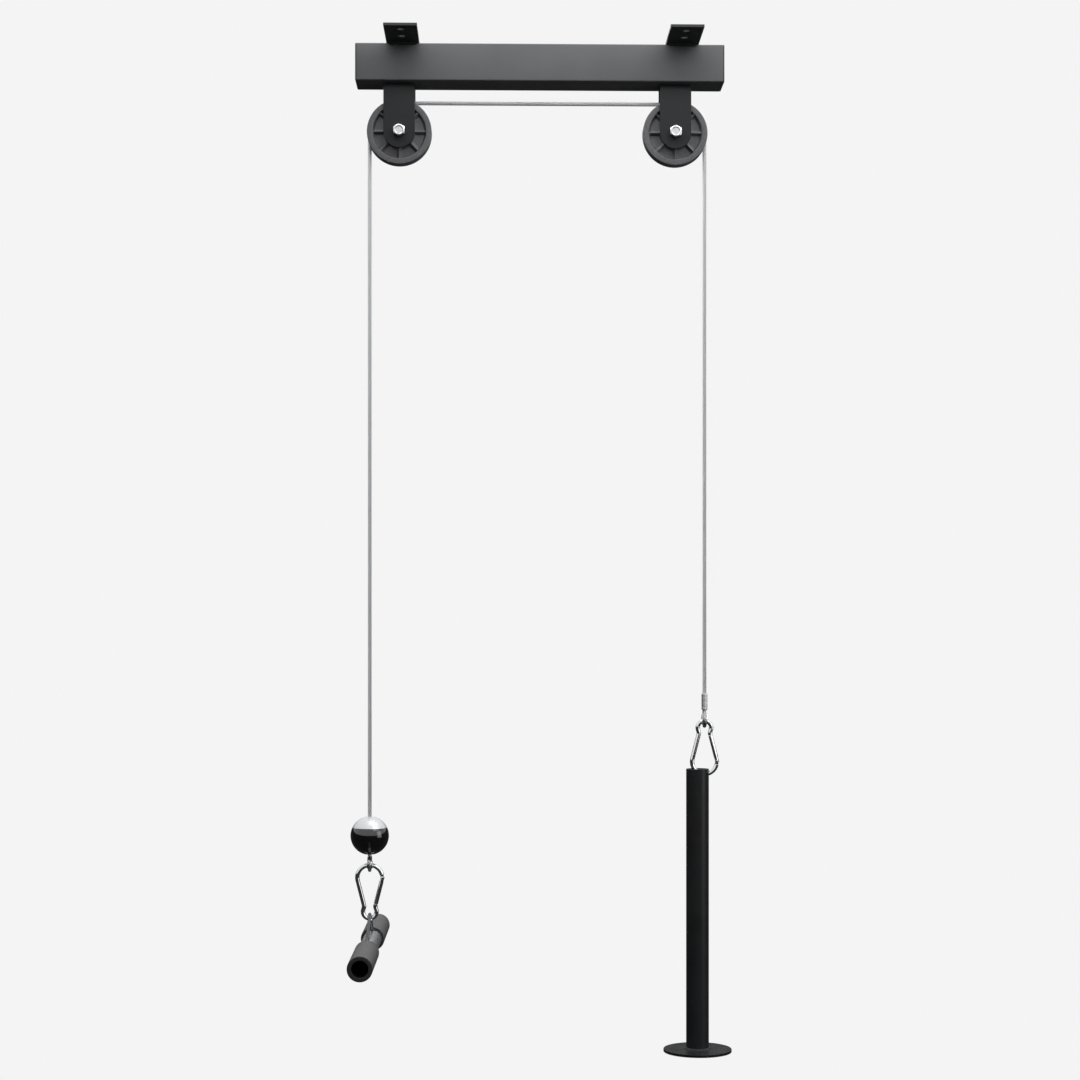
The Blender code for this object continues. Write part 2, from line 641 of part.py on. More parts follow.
def build_stopper_ball(body, mats):
    """Ball in two pieces round the crimp sleeve, which stops the handle's cable at the pulley."""
    place = (CABLE_X["left"], 0, BALL_STOP_Z)
    bore = SLEEVE_RADIUS + GAP
    rim = BALL_CAP_HEIGHT - GAP
    start = math.asin(rim / BALL_STOP_RADIUS)
    end = -math.acos(BALL_FOOT_RADIUS / BALL_STOP_RADIUS)
    seat = SLEEVE_TOP - SLEEVE_LENGTH - GAP
    foot = BALL_FOOT_RADIUS - EDGE_CHAMFER
    foot_z = BALL_STOP_RADIUS * math.sin(end)
    profile = [(bore, rim)] + arc((0, 0), BALL_STOP_RADIUS, start, end, BALL_BODY_STEPS)
    profile += [(foot, foot_z + EDGE_CHAMFER), (foot, seat), (bore, seat)]
    name = "stopper_ball_body"
    add_object(name, turned(name, profile, ROUND_STEPS), mats["gloss_black"], place, body)
    start = math.asin(BALL_CAP_HEIGHT / BALL_STOP_RADIUS)
    end = math.acos(BALL_MOUTH_RADIUS / BALL_STOP_RADIUS)
    hole = CABLE_RADIUS + GAP
    mouth_z = BALL_STOP_RADIUS * math.sin(end) - (BALL_MOUTH_RADIUS - hole)
    ceiling = SLEEVE_TOP + GAP
    profile = [(bore, BALL_CAP_HEIGHT)] + arc((0, 0), BALL_STOP_RADIUS, start, end, BALL_CAP_STEPS)
    profile += [(hole, mouth_z), (hole, ceiling), (bore, ceiling)]
    name = "stopper_ball_cap"
    add_object(name, turned(name, profile, ROUND_STEPS), mats["satin_silver"], place, body)


def drilled_sleeve(name, half_x, half_y, length, cable_depth, strand_depth):
    """Sleeve with a round bore for the cable above and a double bore for the loop's strands below."""
    cable_bore = obround(CABLE_RADIUS + GAP, CABLE_RADIUS + GAP)
    strand_bore = obround(CABLE_RADIUS + GAP, CABLE_RADIUS + GAP + STRAND_PITCH / 2)
    outside = obround(half_x, half_y)
    order = ((strand_bore, strand_depth), (strand_bore, 0), (outside, 0), (outside, length),
             (cable_bore, length), (cable_bore, length - cable_depth))
    rings = [[(x, y, z) for x, y in outline] for outline, z in order]
    return mesh_from(name, skin(rings))


def loop_path(top):
    """Half of an end loop's centre line, from its strand's top down to the lowest point."""
    neck = Vector((STRAND_PITCH / 2, LOOP_NECK))
    opening = LOOP_OPENING_ANGLE
    shoulder = LOOP_RADIUS * Vector((math.cos(opening), math.sin(opening)))
    pull = (neck - shoulder).length
    lift = pull * Vector((-math.sin(opening), math.cos(opening)))
    drop = pull * Vector((0, -1))
    points = [(neck.x, top), (neck.x, LOOP_NECK)]
    for i in range(1, LOOP_SPREAD_STEPS):
        t = i / LOOP_SPREAD_STEPS
        spread = (2 * t**3 - 3 * t**2 + 1) * neck + (t**3 - 2 * t**2 + t) * drop
        spread += (3 * t**2 - 2 * t**3) * shoulder - (t**3 - t**2) * lift
        points.append(tuple(spread))
    return points + arc((0, 0), LOOP_RADIUS, opening, -math.pi / 2, LOOP_ARC_STEPS)


def mirrored(half):
    """A whole path from the half that ends on the middle line."""
    return half + [(-a, b) for a, b in half[-2::-1]]


def build_end_loop(side, body, mats, centre_z, strand_top):
    """The cable's end loop with the thimble that lines it."""
    place = (CABLE_X[side], 0, centre_z)
    half = loop_path(strand_top - centre_z)
    rings = in_yz(planar_sweep(mirrored(half), wire_section(CABLE_RADIUS)))
    name = "cable_end_loop_" + side
    add_object(name, mesh_from(name, skin(rings)), mats["cable_steel"], place, body)
    lined = [point for point in half if point[0] > THIMBLE_OUTER + GAP]
    first = half.index(lined[0])
    wrap = THIMBLE_WRAP_ANGLE / 2
    inside = arc((0, 0), CABLE_RADIUS + GAP, math.pi - wrap, math.pi + wrap, THIMBLE_STEPS)
    outside = arc((0, 0), THIMBLE_OUTER, math.pi + wrap, math.pi - wrap, THIMBLE_STEPS)
    rings = in_yz(planar_sweep(mirrored(half[first:]), inside + outside))
    name = "thimble_" + side
    add_object(name, mesh_from(name, skin(rings)), mats["zinc"], place, body)


def hook_leg():
    """Where a hook's straight leg leaves the big arc, and its unit direction towards the neck."""
    neck = Vector((HOOK_NECK_HALF_WIDTH, HOOK_NECK_REACH))
    bearing = math.atan2(neck.y, neck.x) - math.acos(HOOK_BIG_RADIUS / neck.length)
    start = HOOK_BIG_RADIUS * Vector((math.cos(bearing), math.sin(bearing)))
    return bearing, start, (neck - start).normalized()


def hook_ring_angle():
    """Angle at which the run from the neck meets the small ring, seen from the ring's centre."""
    offset = Vector((HOOK_NECK_HALF_WIDTH, HOOK_NECK_REACH - HOOK_CENTRES))
    return math.atan2(offset.y, offset.x) + math.acos(HOOK_SMALL_RADIUS / offset.length)


def arc_steps(sweep):
    """Steps that keep a hook's arc near its usual facet angle."""
    return max(2, round(abs(sweep) / HOOK_ARC_STEP))


def hook_path():
    """Centre line of a snap hook's body, from its gate pivot's end round to its nose.

    Points are (across, towards the small ring), from the big arc's centre.
    """
    bearing, leg_start, _ = hook_leg()
    neck = (HOOK_NECK_HALF_WIDTH, HOOK_NECK_REACH)
    other_neck = (-neck[0], neck[1])
    other_start = (-leg_start.x, leg_start.y)
    big_end = -math.pi - bearing
    big = arc((0, 0), HOOK_BIG_RADIUS, HOOK_END_ANGLE, big_end, arc_steps(HOOK_END_ANGLE - big_end))
    ring_angle = hook_ring_angle()
    ring_steps = arc_steps(math.pi - 2 * ring_angle)
    ring_centre = (0, HOOK_CENTRES)
    small = arc(ring_centre, HOOK_SMALL_RADIUS, math.pi - ring_angle, ring_angle, ring_steps)
    left_bend = fillet(other_start, other_neck, small[0], HOOK_NECK_BEND)
    right_bend = fillet(small[-1], neck, tuple(leg_start), HOOK_NECK_BEND)
    return big + left_bend + small + right_bend + [tuple(hook_nose())]


def hook_nose():
    """Centre of the hook's nose, a short way down its leg from the neck."""
    return Vector((HOOK_NECK_HALF_WIDTH, HOOK_NECK_REACH)) - hook_leg()[2] * HOOK_NOSE_LENGTH


def gate_frame():
    """The gate's pivot, its direction towards the nose and its length to the nose's gap."""
    _, leg_start, leg = hook_leg()
    pivot = leg_start + leg * ((GATE_PIVOT_REACH - leg_start.y) / leg.y)
    return pivot, leg, (hook_nose() - pivot).length - GAP


def flip_up(mesh, up):
    """Turn a hook piece over, so that its small ring points up or down."""
    if up < 0:
        mesh.transform(Matrix.Diagonal((1, 1, -1, 1)))
        mesh.flip_normals()
    return mesh


def build_snap_hook(side, up, big_centre_z, hook_body, gate_body, mats):
    """Snap hook with its sprung gate on the +X leg. Its small ring lies up or down from its big arc."""
    x = CABLE_X[side]
    place = (x, 0, big_centre_z)
    name = "snap_hook_" + side
    rings = in_xz(planar_sweep(hook_path(), wire_section(HOOK_WIRE_RADIUS)))
    mesh = flip_up(mesh_from(name, skin(rings)), up)
    hook = add_object(name, mesh, mats["chrome"], place, hook_body)
    pivot, leg, length = gate_frame()
    pivot_z = big_centre_z + up * pivot.y
    tongue = flip_up(tongue_mesh(pivot), up)
    add_modifier_tool(hook, tongue, place, "UNION")
    drill = rivet_drill()
    pivot_place = (x + pivot.x, 0, pivot_z)
    add_modifier_tool(hook, drill, pivot_place, "DIFFERENCE")
    build_gate(side, up, pivot_place, leg, length, gate_body, mats)
    build_rivet(side, pivot_place, hook_body, mats)


def rivet_drill():
    """Drill for the rivet's hole, past both sides of the gate and the hook."""
    length = 2 * (HOOK_WIRE_RADIUS + OVERRUN)
    return cylinder("rivet_drill", RIVET_RADIUS + GAP, length, RIVET_STEPS, "Y")


def tongue_mesh(pivot):
    """Flat tongue on the hook's end that carries the gate's rivet."""
    half = TONGUE_WIDTH / 2
    end = Vector((pivot.x, pivot.y))
    root = HOOK_BIG_RADIUS * Vector((math.cos(HOOK_END_ANGLE), math.sin(HOOK_END_ANGLE)))
    back = (root - end).normalized()
    root = root + back * (TONGUE_ROOT - (root - end).length)
    across = Vector((-back.y, back.x))
    facing = math.atan2(-back.y, -back.x)
    outline = arc(end, half, facing - math.pi / 2, facing + math.pi / 2, TONGUE_STEPS)
    outline += [tuple(root - across * half), tuple(root + across * half)]
    return extruded("tongue", outline, TONGUE_THICKNESS)


def along_gate(mesh, leg, up):
    """Turn a mesh that runs along +Z so that it runs along the gate."""
    lean = math.atan2(leg.x, leg.y)
    mesh.transform(Matrix.Rotation(lean, 4, "Y"))
    return flip_up(mesh, up)


def build_gate(side, up, pivot_place, leg, length, gate_body, mats):
    """Straight gate, forked over the hook's tongue and bored for its spring."""
    name = "snap_hook_gate_" + side
    rod_length = length + GATE_TAIL
    middle = (0, 0, rod_length / 2 - GATE_TAIL)
    rod = along_gate(cylinder(name, GATE_RADIUS, rod_length, WIRE_SIDES, "Z", middle), leg, up)
    gate = add_object(name, rod, mats["chrome"], pivot_place, gate_body)
    add_modifier_tool(gate, along_gate(gate_slot(), leg, up), pivot_place, "DIFFERENCE")
    bore_length = GATE_BORE_DEPTH + OVERRUN
    middle = (0, 0, GATE_SLOT_DEPTH - OVERRUN + bore_length / 2)
    bore = cylinder("bore", GATE_BORE_RADIUS, bore_length, RIVET_STEPS, "Z", middle)
    add_modifier_tool(gate, along_gate(bore, leg, up), pivot_place, "DIFFERENCE")
    add_modifier_tool(gate, rivet_drill(), pivot_place, "DIFFERENCE")
    name = "snap_hook_spring_" + side
    middle = (0, 0, GATE_SLOT_DEPTH + GATE_BORE_DEPTH - GAP - GATE_SPRING_LENGTH / 2)
    spring = cylinder(name, GATE_BORE_RADIUS - GAP, GATE_SPRING_LENGTH, RIVET_STEPS, "Z", middle)
    add_object(name, along_gate(spring, leg, up), mats["bearing_steel"], pivot_place, gate_body)


def gate_slot():
    """Slot that forks the gate's end over the hook's tongue."""
    length = GATE_TAIL + GATE_SLOT_DEPTH + OVERRUN
    spot = Matrix.Translation((0, 0, GATE_SLOT_DEPTH - length / 2))
    size = Matrix.Diagonal((2 * (GATE_RADIUS + OVERRUN), GATE_SLOT_WIDTH, length, 1))
    bm = bmesh.new()
    bmesh.ops.create_cube(bm, size=1.0, matrix=spot @ size)
    return mesh_from("slot", bm)


def build_rivet(side, pivot_place, body, mats):
    """Rivet through the gate's fork and the tongue, with a low head at each end."""
    name = "snap_hook_rivet_" + side
    neck = GATE_RADIUS + GAP
    tip = neck + RIVET_HEAD_HEIGHT
    half = [(RIVET_RADIUS, neck), (RIVET_HEAD_RADIUS, neck), (RIVET_HEAD_RADIUS, tip)]
    profile = [(r, -y) for r, y in reversed(half)] + half
    add_object(name, solid_turned(name, profile, RIVET_STEPS, "Y"), mats["chrome"], pivot_place, body)


def hanger_path():
    """Half of the hanger's centre line, from its foot to the bend over the hook's ring."""
    bend = HOOK_WIRE_RADIUS + GAP + HANGER_RADIUS
    foot_z = -HANDLE_DROP + HANDLE_RADIUS + GAP + HANGER_RADIUS
    knee = Vector((HANGER_FOOT_REACH - HANGER_FOOT_LENGTH, foot_z))
    angle = math.atan2(knee.y, knee.x) + math.acos(bend / knee.length)
    top = arc((0, 0), bend, angle, math.pi / 2, HANGER_TOP_STEPS)
    foot = (HANGER_FOOT_REACH, foot_z)
    return [foot] + fillet(foot, tuple(knee), top[0], HANGER_KNEE_BEND) + top


def build_handle(body, mats):
    """Straight bar along Y on its bent hanger, with a grip at each end."""
    x = CABLE_X["left"]
    half = HANDLE_LENGTH / 2
    name = "handle_tube"
    profile = ring_profile(HANDLE_RADIUS - HANDLE_WALL, HANDLE_RADIUS, -half, half)
    add_object(name, turned(name, profile, ROUND_STEPS, "Y"), mats["chrome"], (x, 0, HANDLE_Z), body)
    name = "handle_hanger"
    rings = in_yz(planar_sweep(mirrored(hanger_path()), wire_section(HANGER_RADIUS)))
    add_object(name, mesh_from(name, skin(rings)), mats["chrome"], (x, 0, RING_WIRE_LEFT), body)
    bore = HANDLE_RADIUS + GAP
    grip_half = GRIP_LENGTH / 2
    step = GRIP_ROUND
    profile = [(bore, -grip_half), (GRIP_RADIUS - step, -grip_half), (GRIP_RADIUS, -grip_half + step)]
    profile += [(GRIP_RADIUS, grip_half - step), (GRIP_RADIUS - step, grip_half), (bore, grip_half)]
    for row, sign in (("front", -1), ("rear", 1)):
        name = "handle_grip_" + row
        place = (x, sign * (half - grip_half), HANDLE_Z)
        add_object(name, turned(name, profile, ROUND_STEPS, "Y"), mats["grip_rubber"], place, body)


def post_hole_z():
    """Height of the hole in the post's wall, so that its top edge rests on the hook's wire."""
    across = POST_X + POST_RADIUS - POST_WALL / 2 - CABLE_X["right"]
    drop = math.sqrt(HOOK_BIG_RADIUS**2 - across**2)
    slope = across / drop
    wire_top = HOOK_WIRE_RADIUS * math.hypot(1, slope) + slope * POST_WALL / 2
    return HOOK_BIG_CENTRE_RIGHT - drop + wire_top + GAP - POST_HOLE_RADIUS


def build_post(body, mats):
    """Open tube that hangs on the hook through a hole in its wall, on a raised seat of its base disc."""
    name = "post_tube"
    profile = ring_profile(POST_RADIUS - POST_WALL, POST_RADIUS, -POST_LENGTH, 0)
    tube = add_object(name, turned(name, profile, ROUND_STEPS), mats["powder_coat"],
                      (POST_X, 0, POST_RIM), body)
    wall = POST_X + POST_RADIUS - POST_WALL / 2
    drill = cylinder("wall_drill", POST_HOLE_RADIUS, POST_WALL + 2 * OVERRUN, SMALL_STEPS, "X")
    add_modifier_tool(tube, drill, (wall, 0, post_hole_z()), "DIFFERENCE")
    name = "post_base_disc"
    edge = DISC_RADIUS - DISC_CHAMFER
    profile = [(edge, -DISC_THICKNESS), (DISC_RADIUS, DISC_CHAMFER - DISC_THICKNESS),
               (DISC_RADIUS, -DISC_CHAMFER), (edge, 0), (POST_RADIUS + DISC_SEAT_MARGIN, 0)]
    bore = POST_RADIUS - POST_WALL
    profile += [(POST_RADIUS, DISC_SEAT_HEIGHT), (bore, DISC_SEAT_HEIGHT), (bore, 0)]
    place = (POST_X, 0, POST_RIM - POST_LENGTH - GAP - DISC_SEAT_HEIGHT)
    add_object(name, solid_turned(name, profile, ROUND_STEPS), mats["powder_coat"], place, body)


def build_pulley(side, frame, mats):
    """One pulley: yoke, sheave, bearing and axle."""
    axis = (PULLEY_X[side], 0, AXLE_Z)
    wheel = add_body("body_sheave_" + side, axis)
    cage = add_body("body_ball_cage_" + side, axis)
    build_yoke_plates(side, frame, mats)
    build_sheave(side, wheel, mats)
    build_bearing(side, frame, wheel, cage, mats)
    build_axle(side, frame, mats)


def build_left_line(mats):
    """Everything that hangs on the cable's left end."""
    x = CABLE_X["left"]
    line = add_body("body_handle_line", (x, 0, BALL_STOP_Z))
    hook = add_body("body_snap_hook_left", (x, 0, LOOP_CENTRE_LEFT - LOOP_RADIUS))
    pivot = gate_frame()[0]
    gate = add_body("body_gate_left", (x + pivot.x, 0, HOOK_BIG_CENTRE_LEFT - pivot.y))
    handle = add_body("body_handle", (x, 0, RING_WIRE_LEFT))
    build_stopper_ball(line, mats)
    sleeve_bottom = BALL_STOP_Z + SLEEVE_TOP - SLEEVE_LENGTH
    sleeve = drilled_sleeve("stopper_crimp_sleeve", SLEEVE_RADIUS, SLEEVE_RADIUS, SLEEVE_LENGTH,
                            SLEEVE_CABLE_DEPTH, SLEEVE_STRAND_DEPTH)
    add_object("stopper_crimp_sleeve", sleeve, mats["satin_silver"], (x, 0, sleeve_bottom), line)
    strand_top = sleeve_bottom + SLEEVE_STRAND_DEPTH - GAP
    build_end_loop("left", line, mats, LOOP_CENTRE_LEFT, strand_top)
    build_snap_hook("left", -1, HOOK_BIG_CENTRE_LEFT, hook, gate, mats)
    build_handle(handle, mats)


def build_right_line(mats):
    """Everything that hangs on the cable's right end."""
    x = CABLE_X["right"]
    line = add_body("body_post_line", (x, 0, FERRULE_BOTTOM))
    hook = add_body("body_snap_hook_right", (x, 0, RING_WIRE_RIGHT))
    pivot = gate_frame()[0]
    gate = add_body("body_gate_right", (x + pivot.x, 0, HOOK_BIG_CENTRE_RIGHT + pivot.y))
    post = add_body("body_post", (POST_X, 0, post_hole_z()))
    ferrule = drilled_sleeve("cable_ferrule_right", FERRULE_WIDTH / 2, FERRULE_DEPTH / 2, FERRULE_LENGTH,
                             FERRULE_BORE_DEPTH, FERRULE_BORE_DEPTH)
    add_object("cable_ferrule_right", ferrule, mats["satin_silver"], (x, 0, FERRULE_BOTTOM), line)
    strand_top = FERRULE_BOTTOM + FERRULE_BORE_DEPTH - GAP
    build_end_loop("right", line, mats, LOOP_CENTRE_RIGHT, strand_top)
    build_snap_hook("right", 1, HOOK_BIG_CENTRE_RIGHT, hook, gate, mats)
    build_post(post, mats)


def main():
    clear_scene()
    mats = make_materials()
    frame = add_body("body_frame", (0, 0, 0))
    build_beam(frame, mats)
    for side in SIDES:
        build_end_cap(side, frame, mats)
        build_ceiling_plate(side, frame, mats)
        build_pulley(side, frame, mats)
    build_cable(frame, mats)
    build_left_line(mats)
    build_right_line(mats)


main()
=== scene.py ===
"""Looks of a ceiling lat pulley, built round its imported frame.

A short square beam hangs under two ceiling plates and carries two ribbed pulleys. One steel
cable runs over both, to a pull handle on the left and to a weight post on the right.
"""

import json
import math

import bmesh
import bpy
from mathutils import Matrix, Vector


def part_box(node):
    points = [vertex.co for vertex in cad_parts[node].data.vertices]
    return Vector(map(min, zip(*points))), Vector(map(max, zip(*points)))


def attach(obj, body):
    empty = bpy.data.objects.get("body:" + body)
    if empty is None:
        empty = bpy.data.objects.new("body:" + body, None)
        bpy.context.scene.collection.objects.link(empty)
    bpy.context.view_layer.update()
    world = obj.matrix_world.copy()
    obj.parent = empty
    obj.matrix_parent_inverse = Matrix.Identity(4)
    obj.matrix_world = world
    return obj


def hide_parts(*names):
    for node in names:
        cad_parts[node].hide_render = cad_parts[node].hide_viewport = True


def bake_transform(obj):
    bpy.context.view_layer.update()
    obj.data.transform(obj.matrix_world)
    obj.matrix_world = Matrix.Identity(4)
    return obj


bl_info = {
    "name": "Ceiling lat pulley",
    "version": (1, 0, 0),
    "blender": (4, 5, 0),
    "location": "View3D > Sidebar > Lat pulley",
    "description": "Makes the visible pieces of a ceiling lat pulley and a pale studio round it",
    "category": "Add Mesh",
}

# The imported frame, and its box before any piece is added
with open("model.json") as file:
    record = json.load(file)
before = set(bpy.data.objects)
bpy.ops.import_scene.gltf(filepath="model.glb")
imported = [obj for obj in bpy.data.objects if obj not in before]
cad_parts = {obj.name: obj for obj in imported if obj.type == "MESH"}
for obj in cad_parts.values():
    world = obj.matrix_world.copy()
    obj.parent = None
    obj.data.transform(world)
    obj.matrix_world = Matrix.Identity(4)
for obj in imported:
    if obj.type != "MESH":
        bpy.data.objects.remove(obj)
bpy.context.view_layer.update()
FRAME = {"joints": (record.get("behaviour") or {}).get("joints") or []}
JOINTS = {joint["name"]: joint for joint in FRAME["joints"]}

MM = 0.001
SIDES = {"left": -1, "right": 1}
ROWS = {"front": -1, "rear": 1}

# Places on the frame
PULLEY_X = {side: JOINTS[side + "_pulley_spin"]["pos_m"][0] for side in SIDES}
AXLE_Z = JOINTS["left_pulley_spin"]["pos_m"][2]
RUN_BOX = {side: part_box("cable_run_" + side) for side in SIDES}
CABLE_X = {side: (RUN_BOX[side][0].x + RUN_BOX[side][1].x) / 2 for side in SIDES}
BEAM_LOW, BEAM_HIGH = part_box("beam_tube")
PLATE_BOX = {side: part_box("ceiling_plate_" + side) for side in SIDES}

# Play between pieces that fit in each other
GAP = 0.3 * MM

# Beam and end caps
BEAM_SECTION = 50.8 * MM
BEAM_WALL = 3.0 * MM
BEAM_CORNER = 2.0 * MM
BEAM_LENGTH = 500.0 * MM
BEAM_END_CHIP = 0.3 * MM
CAP_FLANGE = 1.5 * MM
CAP_PLUG_DEPTH = 10.0 * MM
CAP_PLUG_WALL = 2.0 * MM
CAP_PLUG_LEAD = 0.6 * MM
CAP_EDGE = 0.9 * MM

# Sizes across the end cap's crowned face, and how far each lies behind its middle, in mm
CAP_CROWN = [(30.0, 0.0), (44.0, 0.1), (48.8, 0.25), (50.1, 0.5)]

# Ceiling plates
PLATE_THICKNESS = 4.0 * MM
PLATE_WIDTH = 44.5 * MM
PLATE_LENGTH = 206.2 * MM
ANCHOR_HOLE_RADIUS = 4.5 * MM
ANCHOR_HOLE_Y = (54.0 * MM, 85.0 * MM)

# Yoke plates
YOKE_WIDTH = 42.6 * MM
YOKE_THICKNESS = 4.0 * MM
YOKE_INNER = 9.5 * MM
YOKE_TOP = 64.6 * MM
YOKE_END_DROP = 1.4 * MM

# Axle bolts, washers, lock nuts and spacers
AXLE_RADIUS = 5.0 * MM
BOLT_HEAD_FLATS = 15.0 * MM
BOLT_HEAD_HEIGHT = 6.0 * MM
BOLT_HEAD_FACE = -13.8 * MM
BOLT_END = 27.1 * MM
BOLT_TOP_RADIUS = 6.7 * MM
BOLT_WORN_EDGE = 0.15 * MM
THREAD_START = 12.0 * MM
THREAD_DEPTH = 0.9 * MM
THREAD_RING_STEP = 0.25 * MM
THREAD_ROOT = 1.15
THREAD_FLANK = 1.3
WASHER_FACE = 13.8 * MM
WASHER_RADIUS = 10.0 * MM
WASHER_THICKNESS = 2.0 * MM
WASHER_EDGE = 0.35 * MM
NUT_FACE = 16.1 * MM
NUT_FLATS = 16.0 * MM
NUT_HEX_HEIGHT = 6.5 * MM
NUT_FACE_RADIUS = 7.6 * MM
NUT_LEAD = 0.5 * MM
SPACER_LENGTH = 4.9 * MM
SPACER_WALL = 1.9 * MM
SPACER_EDGE = 0.3 * MM
HEX_STEPS = 48
CHAMFER_SLOPE = math.tan(math.radians(30.0))

# Radii across the dish in the bolt's head, and their depths below its top, in mm
BOLT_DISH = [(4.3, 1.4), (4.7, 1.32), (5.5, 0.18), (5.7, 0.04), (5.9, 0.0), (6.7, 0.0)]

# Radii and heights of the lock nut's collar, and of the nylon insert that it holds, in mm
NUT_COLLAR = [(7.6, 6.5), (7.15, 6.55), (7.0, 6.75), (7.0, 8.3), (6.85, 8.75), (6.5, 9.0), (6.2, 8.9)]
NUT_INSERT = [(6.1, 8.6), (5.25, 8.55), (5.2, 8.4), (5.2, 6.6)]

# Sheaves
SHEAVE_RADIUS = 44.0 * MM
SHEAVE_FACE = 8.8 * MM
SHEAVE_LIP = 2.5 * MM
RIM_INNER = 36.5 * MM
HUB_RADIUS = 19.0 * MM
WEB_FACE = 3.6 * MM
WALL_DRAFT = 2.3 * MM
HUB_EDGE = 0.7 * MM
HUB_FILLET = 1.2 * MM
RIM_FILLET = 1.5 * MM
RIM_INNER_EDGE = 1.3 * MM
RIM_OUTER_EDGE = 0.8 * MM
LIP_EDGE = 0.5 * MM
SEAT_EDGE = 0.4 * MM
RIB_COUNT = 8
RIB_SPACES = 7
GROOVE_RADIUS = 2.8 * MM
GROOVE_STEPS = 8
WRAP_RADIUS = 40.5 * MM
WRAP_STEPS = 60
SEAT_RADIUS = 13.3 * MM
SHOULDER_RADIUS = 11.3 * MM
SHOULDER_Y = 4.3 * MM

# How far a rib's surface lies from its middle line, and how high it stands there, in mm
RIB_SECTION = [(0.0, 8.0), (0.35, 8.0), (0.55, 7.95), (0.72, 7.8), (0.85, 7.5), (2.8, 4.2),
               (2.95, 3.95), (3.1, 3.78), (3.3, 3.66), (3.6, 3.6)]

# Ball bearings
BEARING_RADIUS = 13.0 * MM
BEARING_HALF = 4.0 * MM
RACE_WALL = 2.4 * MM
BALL_RADIUS = 2.35 * MM
BALL_PITCH = 9.0 * MM
BALL_COUNT = 7
BALL_STEPS = 28
BALL_POLE = 0.03
TRACK_PLAY = 0.1 * MM
TRACK_STEPS = 10
RING_EDGE = 0.4 * MM
CAGE_HALF = 0.8 * MM
CAGE_WIDTH = 2.6 * MM
CAGE_EDGE = 0.2 * MM

# Cable
CABLE_RADIUS = 2.5 * MM
ROPE_CREST = 2.7 * MM
STRANDS = 6
STRAND_STEPS = 8
STRAND_WIRES = 5
ROPE_STEP = 1.8 * MM
STRAND_PITCH = 5.6 * MM
INNER_RUN_SHRINK = 0.1 * MM

# Shares of a run's travel that give the lengths, overlaps and blend spans of its three pieces
END_PIECE_SHARE = 0.1875
END_BLEND_SHARE = 0.682
MIDDLE_START_SHARE = 0.1136
MIDDLE_BLEND_SHARE = 0.6875

# Stopper ball and its crimp sleeve
BALL_STOP_Z = -1076.8 * MM
BALL_STOP_RADIUS = 26.1 * MM
CAP_RIM = 11.0 * MM
CAP_MOUTH_RADIUS = 4.6 * MM
FOOT_RADIUS = 6.8 * MM
FOOT_EDGE = 0.6 * MM
SLEEVE_RADIUS = 7.0 * MM
SLEEVE_TOP = 16.8 * MM
SLEEVE_LENGTH = 30.0 * MM
SLEEVE_EDGE = 0.6 * MM
SLEEVE_LEAD = 0.3 * MM
SLEEVE_CABLE_DEPTH = 12.0 * MM
SLEEVE_STRAND_DEPTH = 14.0 * MM
SEAM_Z = -4.0 * MM
SEAM_DEPTH = 0.25 * MM
UPPER_STEPS = 20
LOWER_STEPS = 26

# How far the edge of the cap's mouth lies outside its hole, and over the bottom of its dish, in mm
CAP_MOUTH_EDGE = [(0.9, 0.7), (0.2, 0.0), (0.0, -0.3)]

# Ferrule
FERRULE_LENGTH = 22.5 * MM
FERRULE_WIDTH = 7.5 * MM
FERRULE_DEPTH = 13.2 * MM
FERRULE_BORE_DEPTH = 10.0 * MM
FERRULE_PRESS_COUNT = 3
FERRULE_DENT = 0.06 * MM

# Insets and heights of the ferrule's rounded end, in mm
FERRULE_ROUND = [(0.9, 0.0), (0.45, 0.12), (0.12, 0.45), (0.0, 1.0)]

# End loops, thimbles and the shrunk sleeves on the left loop's strands
LOOP_RADIUS = 8.0 * MM
LOOP_NECK = 13.0 * MM
LOOP_OPENING = math.radians(25.0)
LOOP_NECK_STEPS = 16
LOOP_ARC_STEPS = 24
# Factor that darkens the loops' rope colour: painted shade for the loops round the hooks' rings
LOOP_PAINTED_SHADE = 0.8
LOOP_CENTRE = {"left": -1115.9 * MM, "right": -920.0 * MM}
THIMBLE_INNER = 2.8 * MM
THIMBLE_OUTER = 3.7 * MM
THIMBLE_WRAP = math.radians(75.0)
THIMBLE_STEPS = 14
SHRINK_RADIUS = 2.95 * MM
SHRINK_TOP = 10.3 * MM
SHRINK_BOTTOM = 5.4 * MM
SHRINK_STEP = 0.6 * MM

# Snap hooks
HOOK_UP = {"left": -1, "right": 1}
HOOK_BIG_CENTRE = {"left": -1133.8 * MM, "right": -976.7 * MM}
HOOK_RADIUS = 3.0 * MM
HOOK_BIG_RADIUS = 16.9 * MM
HOOK_SMALL_RADIUS = 9.2 * MM
HOOK_CENTRES = 46.5 * MM
HOOK_NECK = (7.45 * MM, 39.2 * MM)
HOOK_NECK_BEND = 6.0 * MM
HOOK_NECK_STEPS = 6
HOOK_NOSE = 3.0 * MM
HOOK_DOME = 0.2
HOOK_END = math.radians(-12.0)
HOOK_ARC_STEP = math.radians(5.0)
TONGUE_THICKNESS = 2.0 * MM
TONGUE_WIDTH = 4.6 * MM
TONGUE_ROOT = 6.0 * MM
TONGUE_STEPS = 14
GATE_RADIUS = 2.9 * MM
GATE_TAIL = 2.4 * MM
GATE_EDGE = 0.5 * MM
GATE_EDGE_STEPS = 5
GATE_SLOT_WIDTH = 2.6 * MM
GATE_SLOT_DEPTH = 5.0 * MM
GATE_BORE_RADIUS = 1.5 * MM
GATE_BORE_DEPTH = 14.0 * MM
GATE_PIVOT_REACH = 1.0 * MM
SPRING_RADIUS = 0.95 * MM
SPRING_WIRE = 0.22 * MM
SPRING_LENGTH = 12.0 * MM
SPRING_TURNS = 14
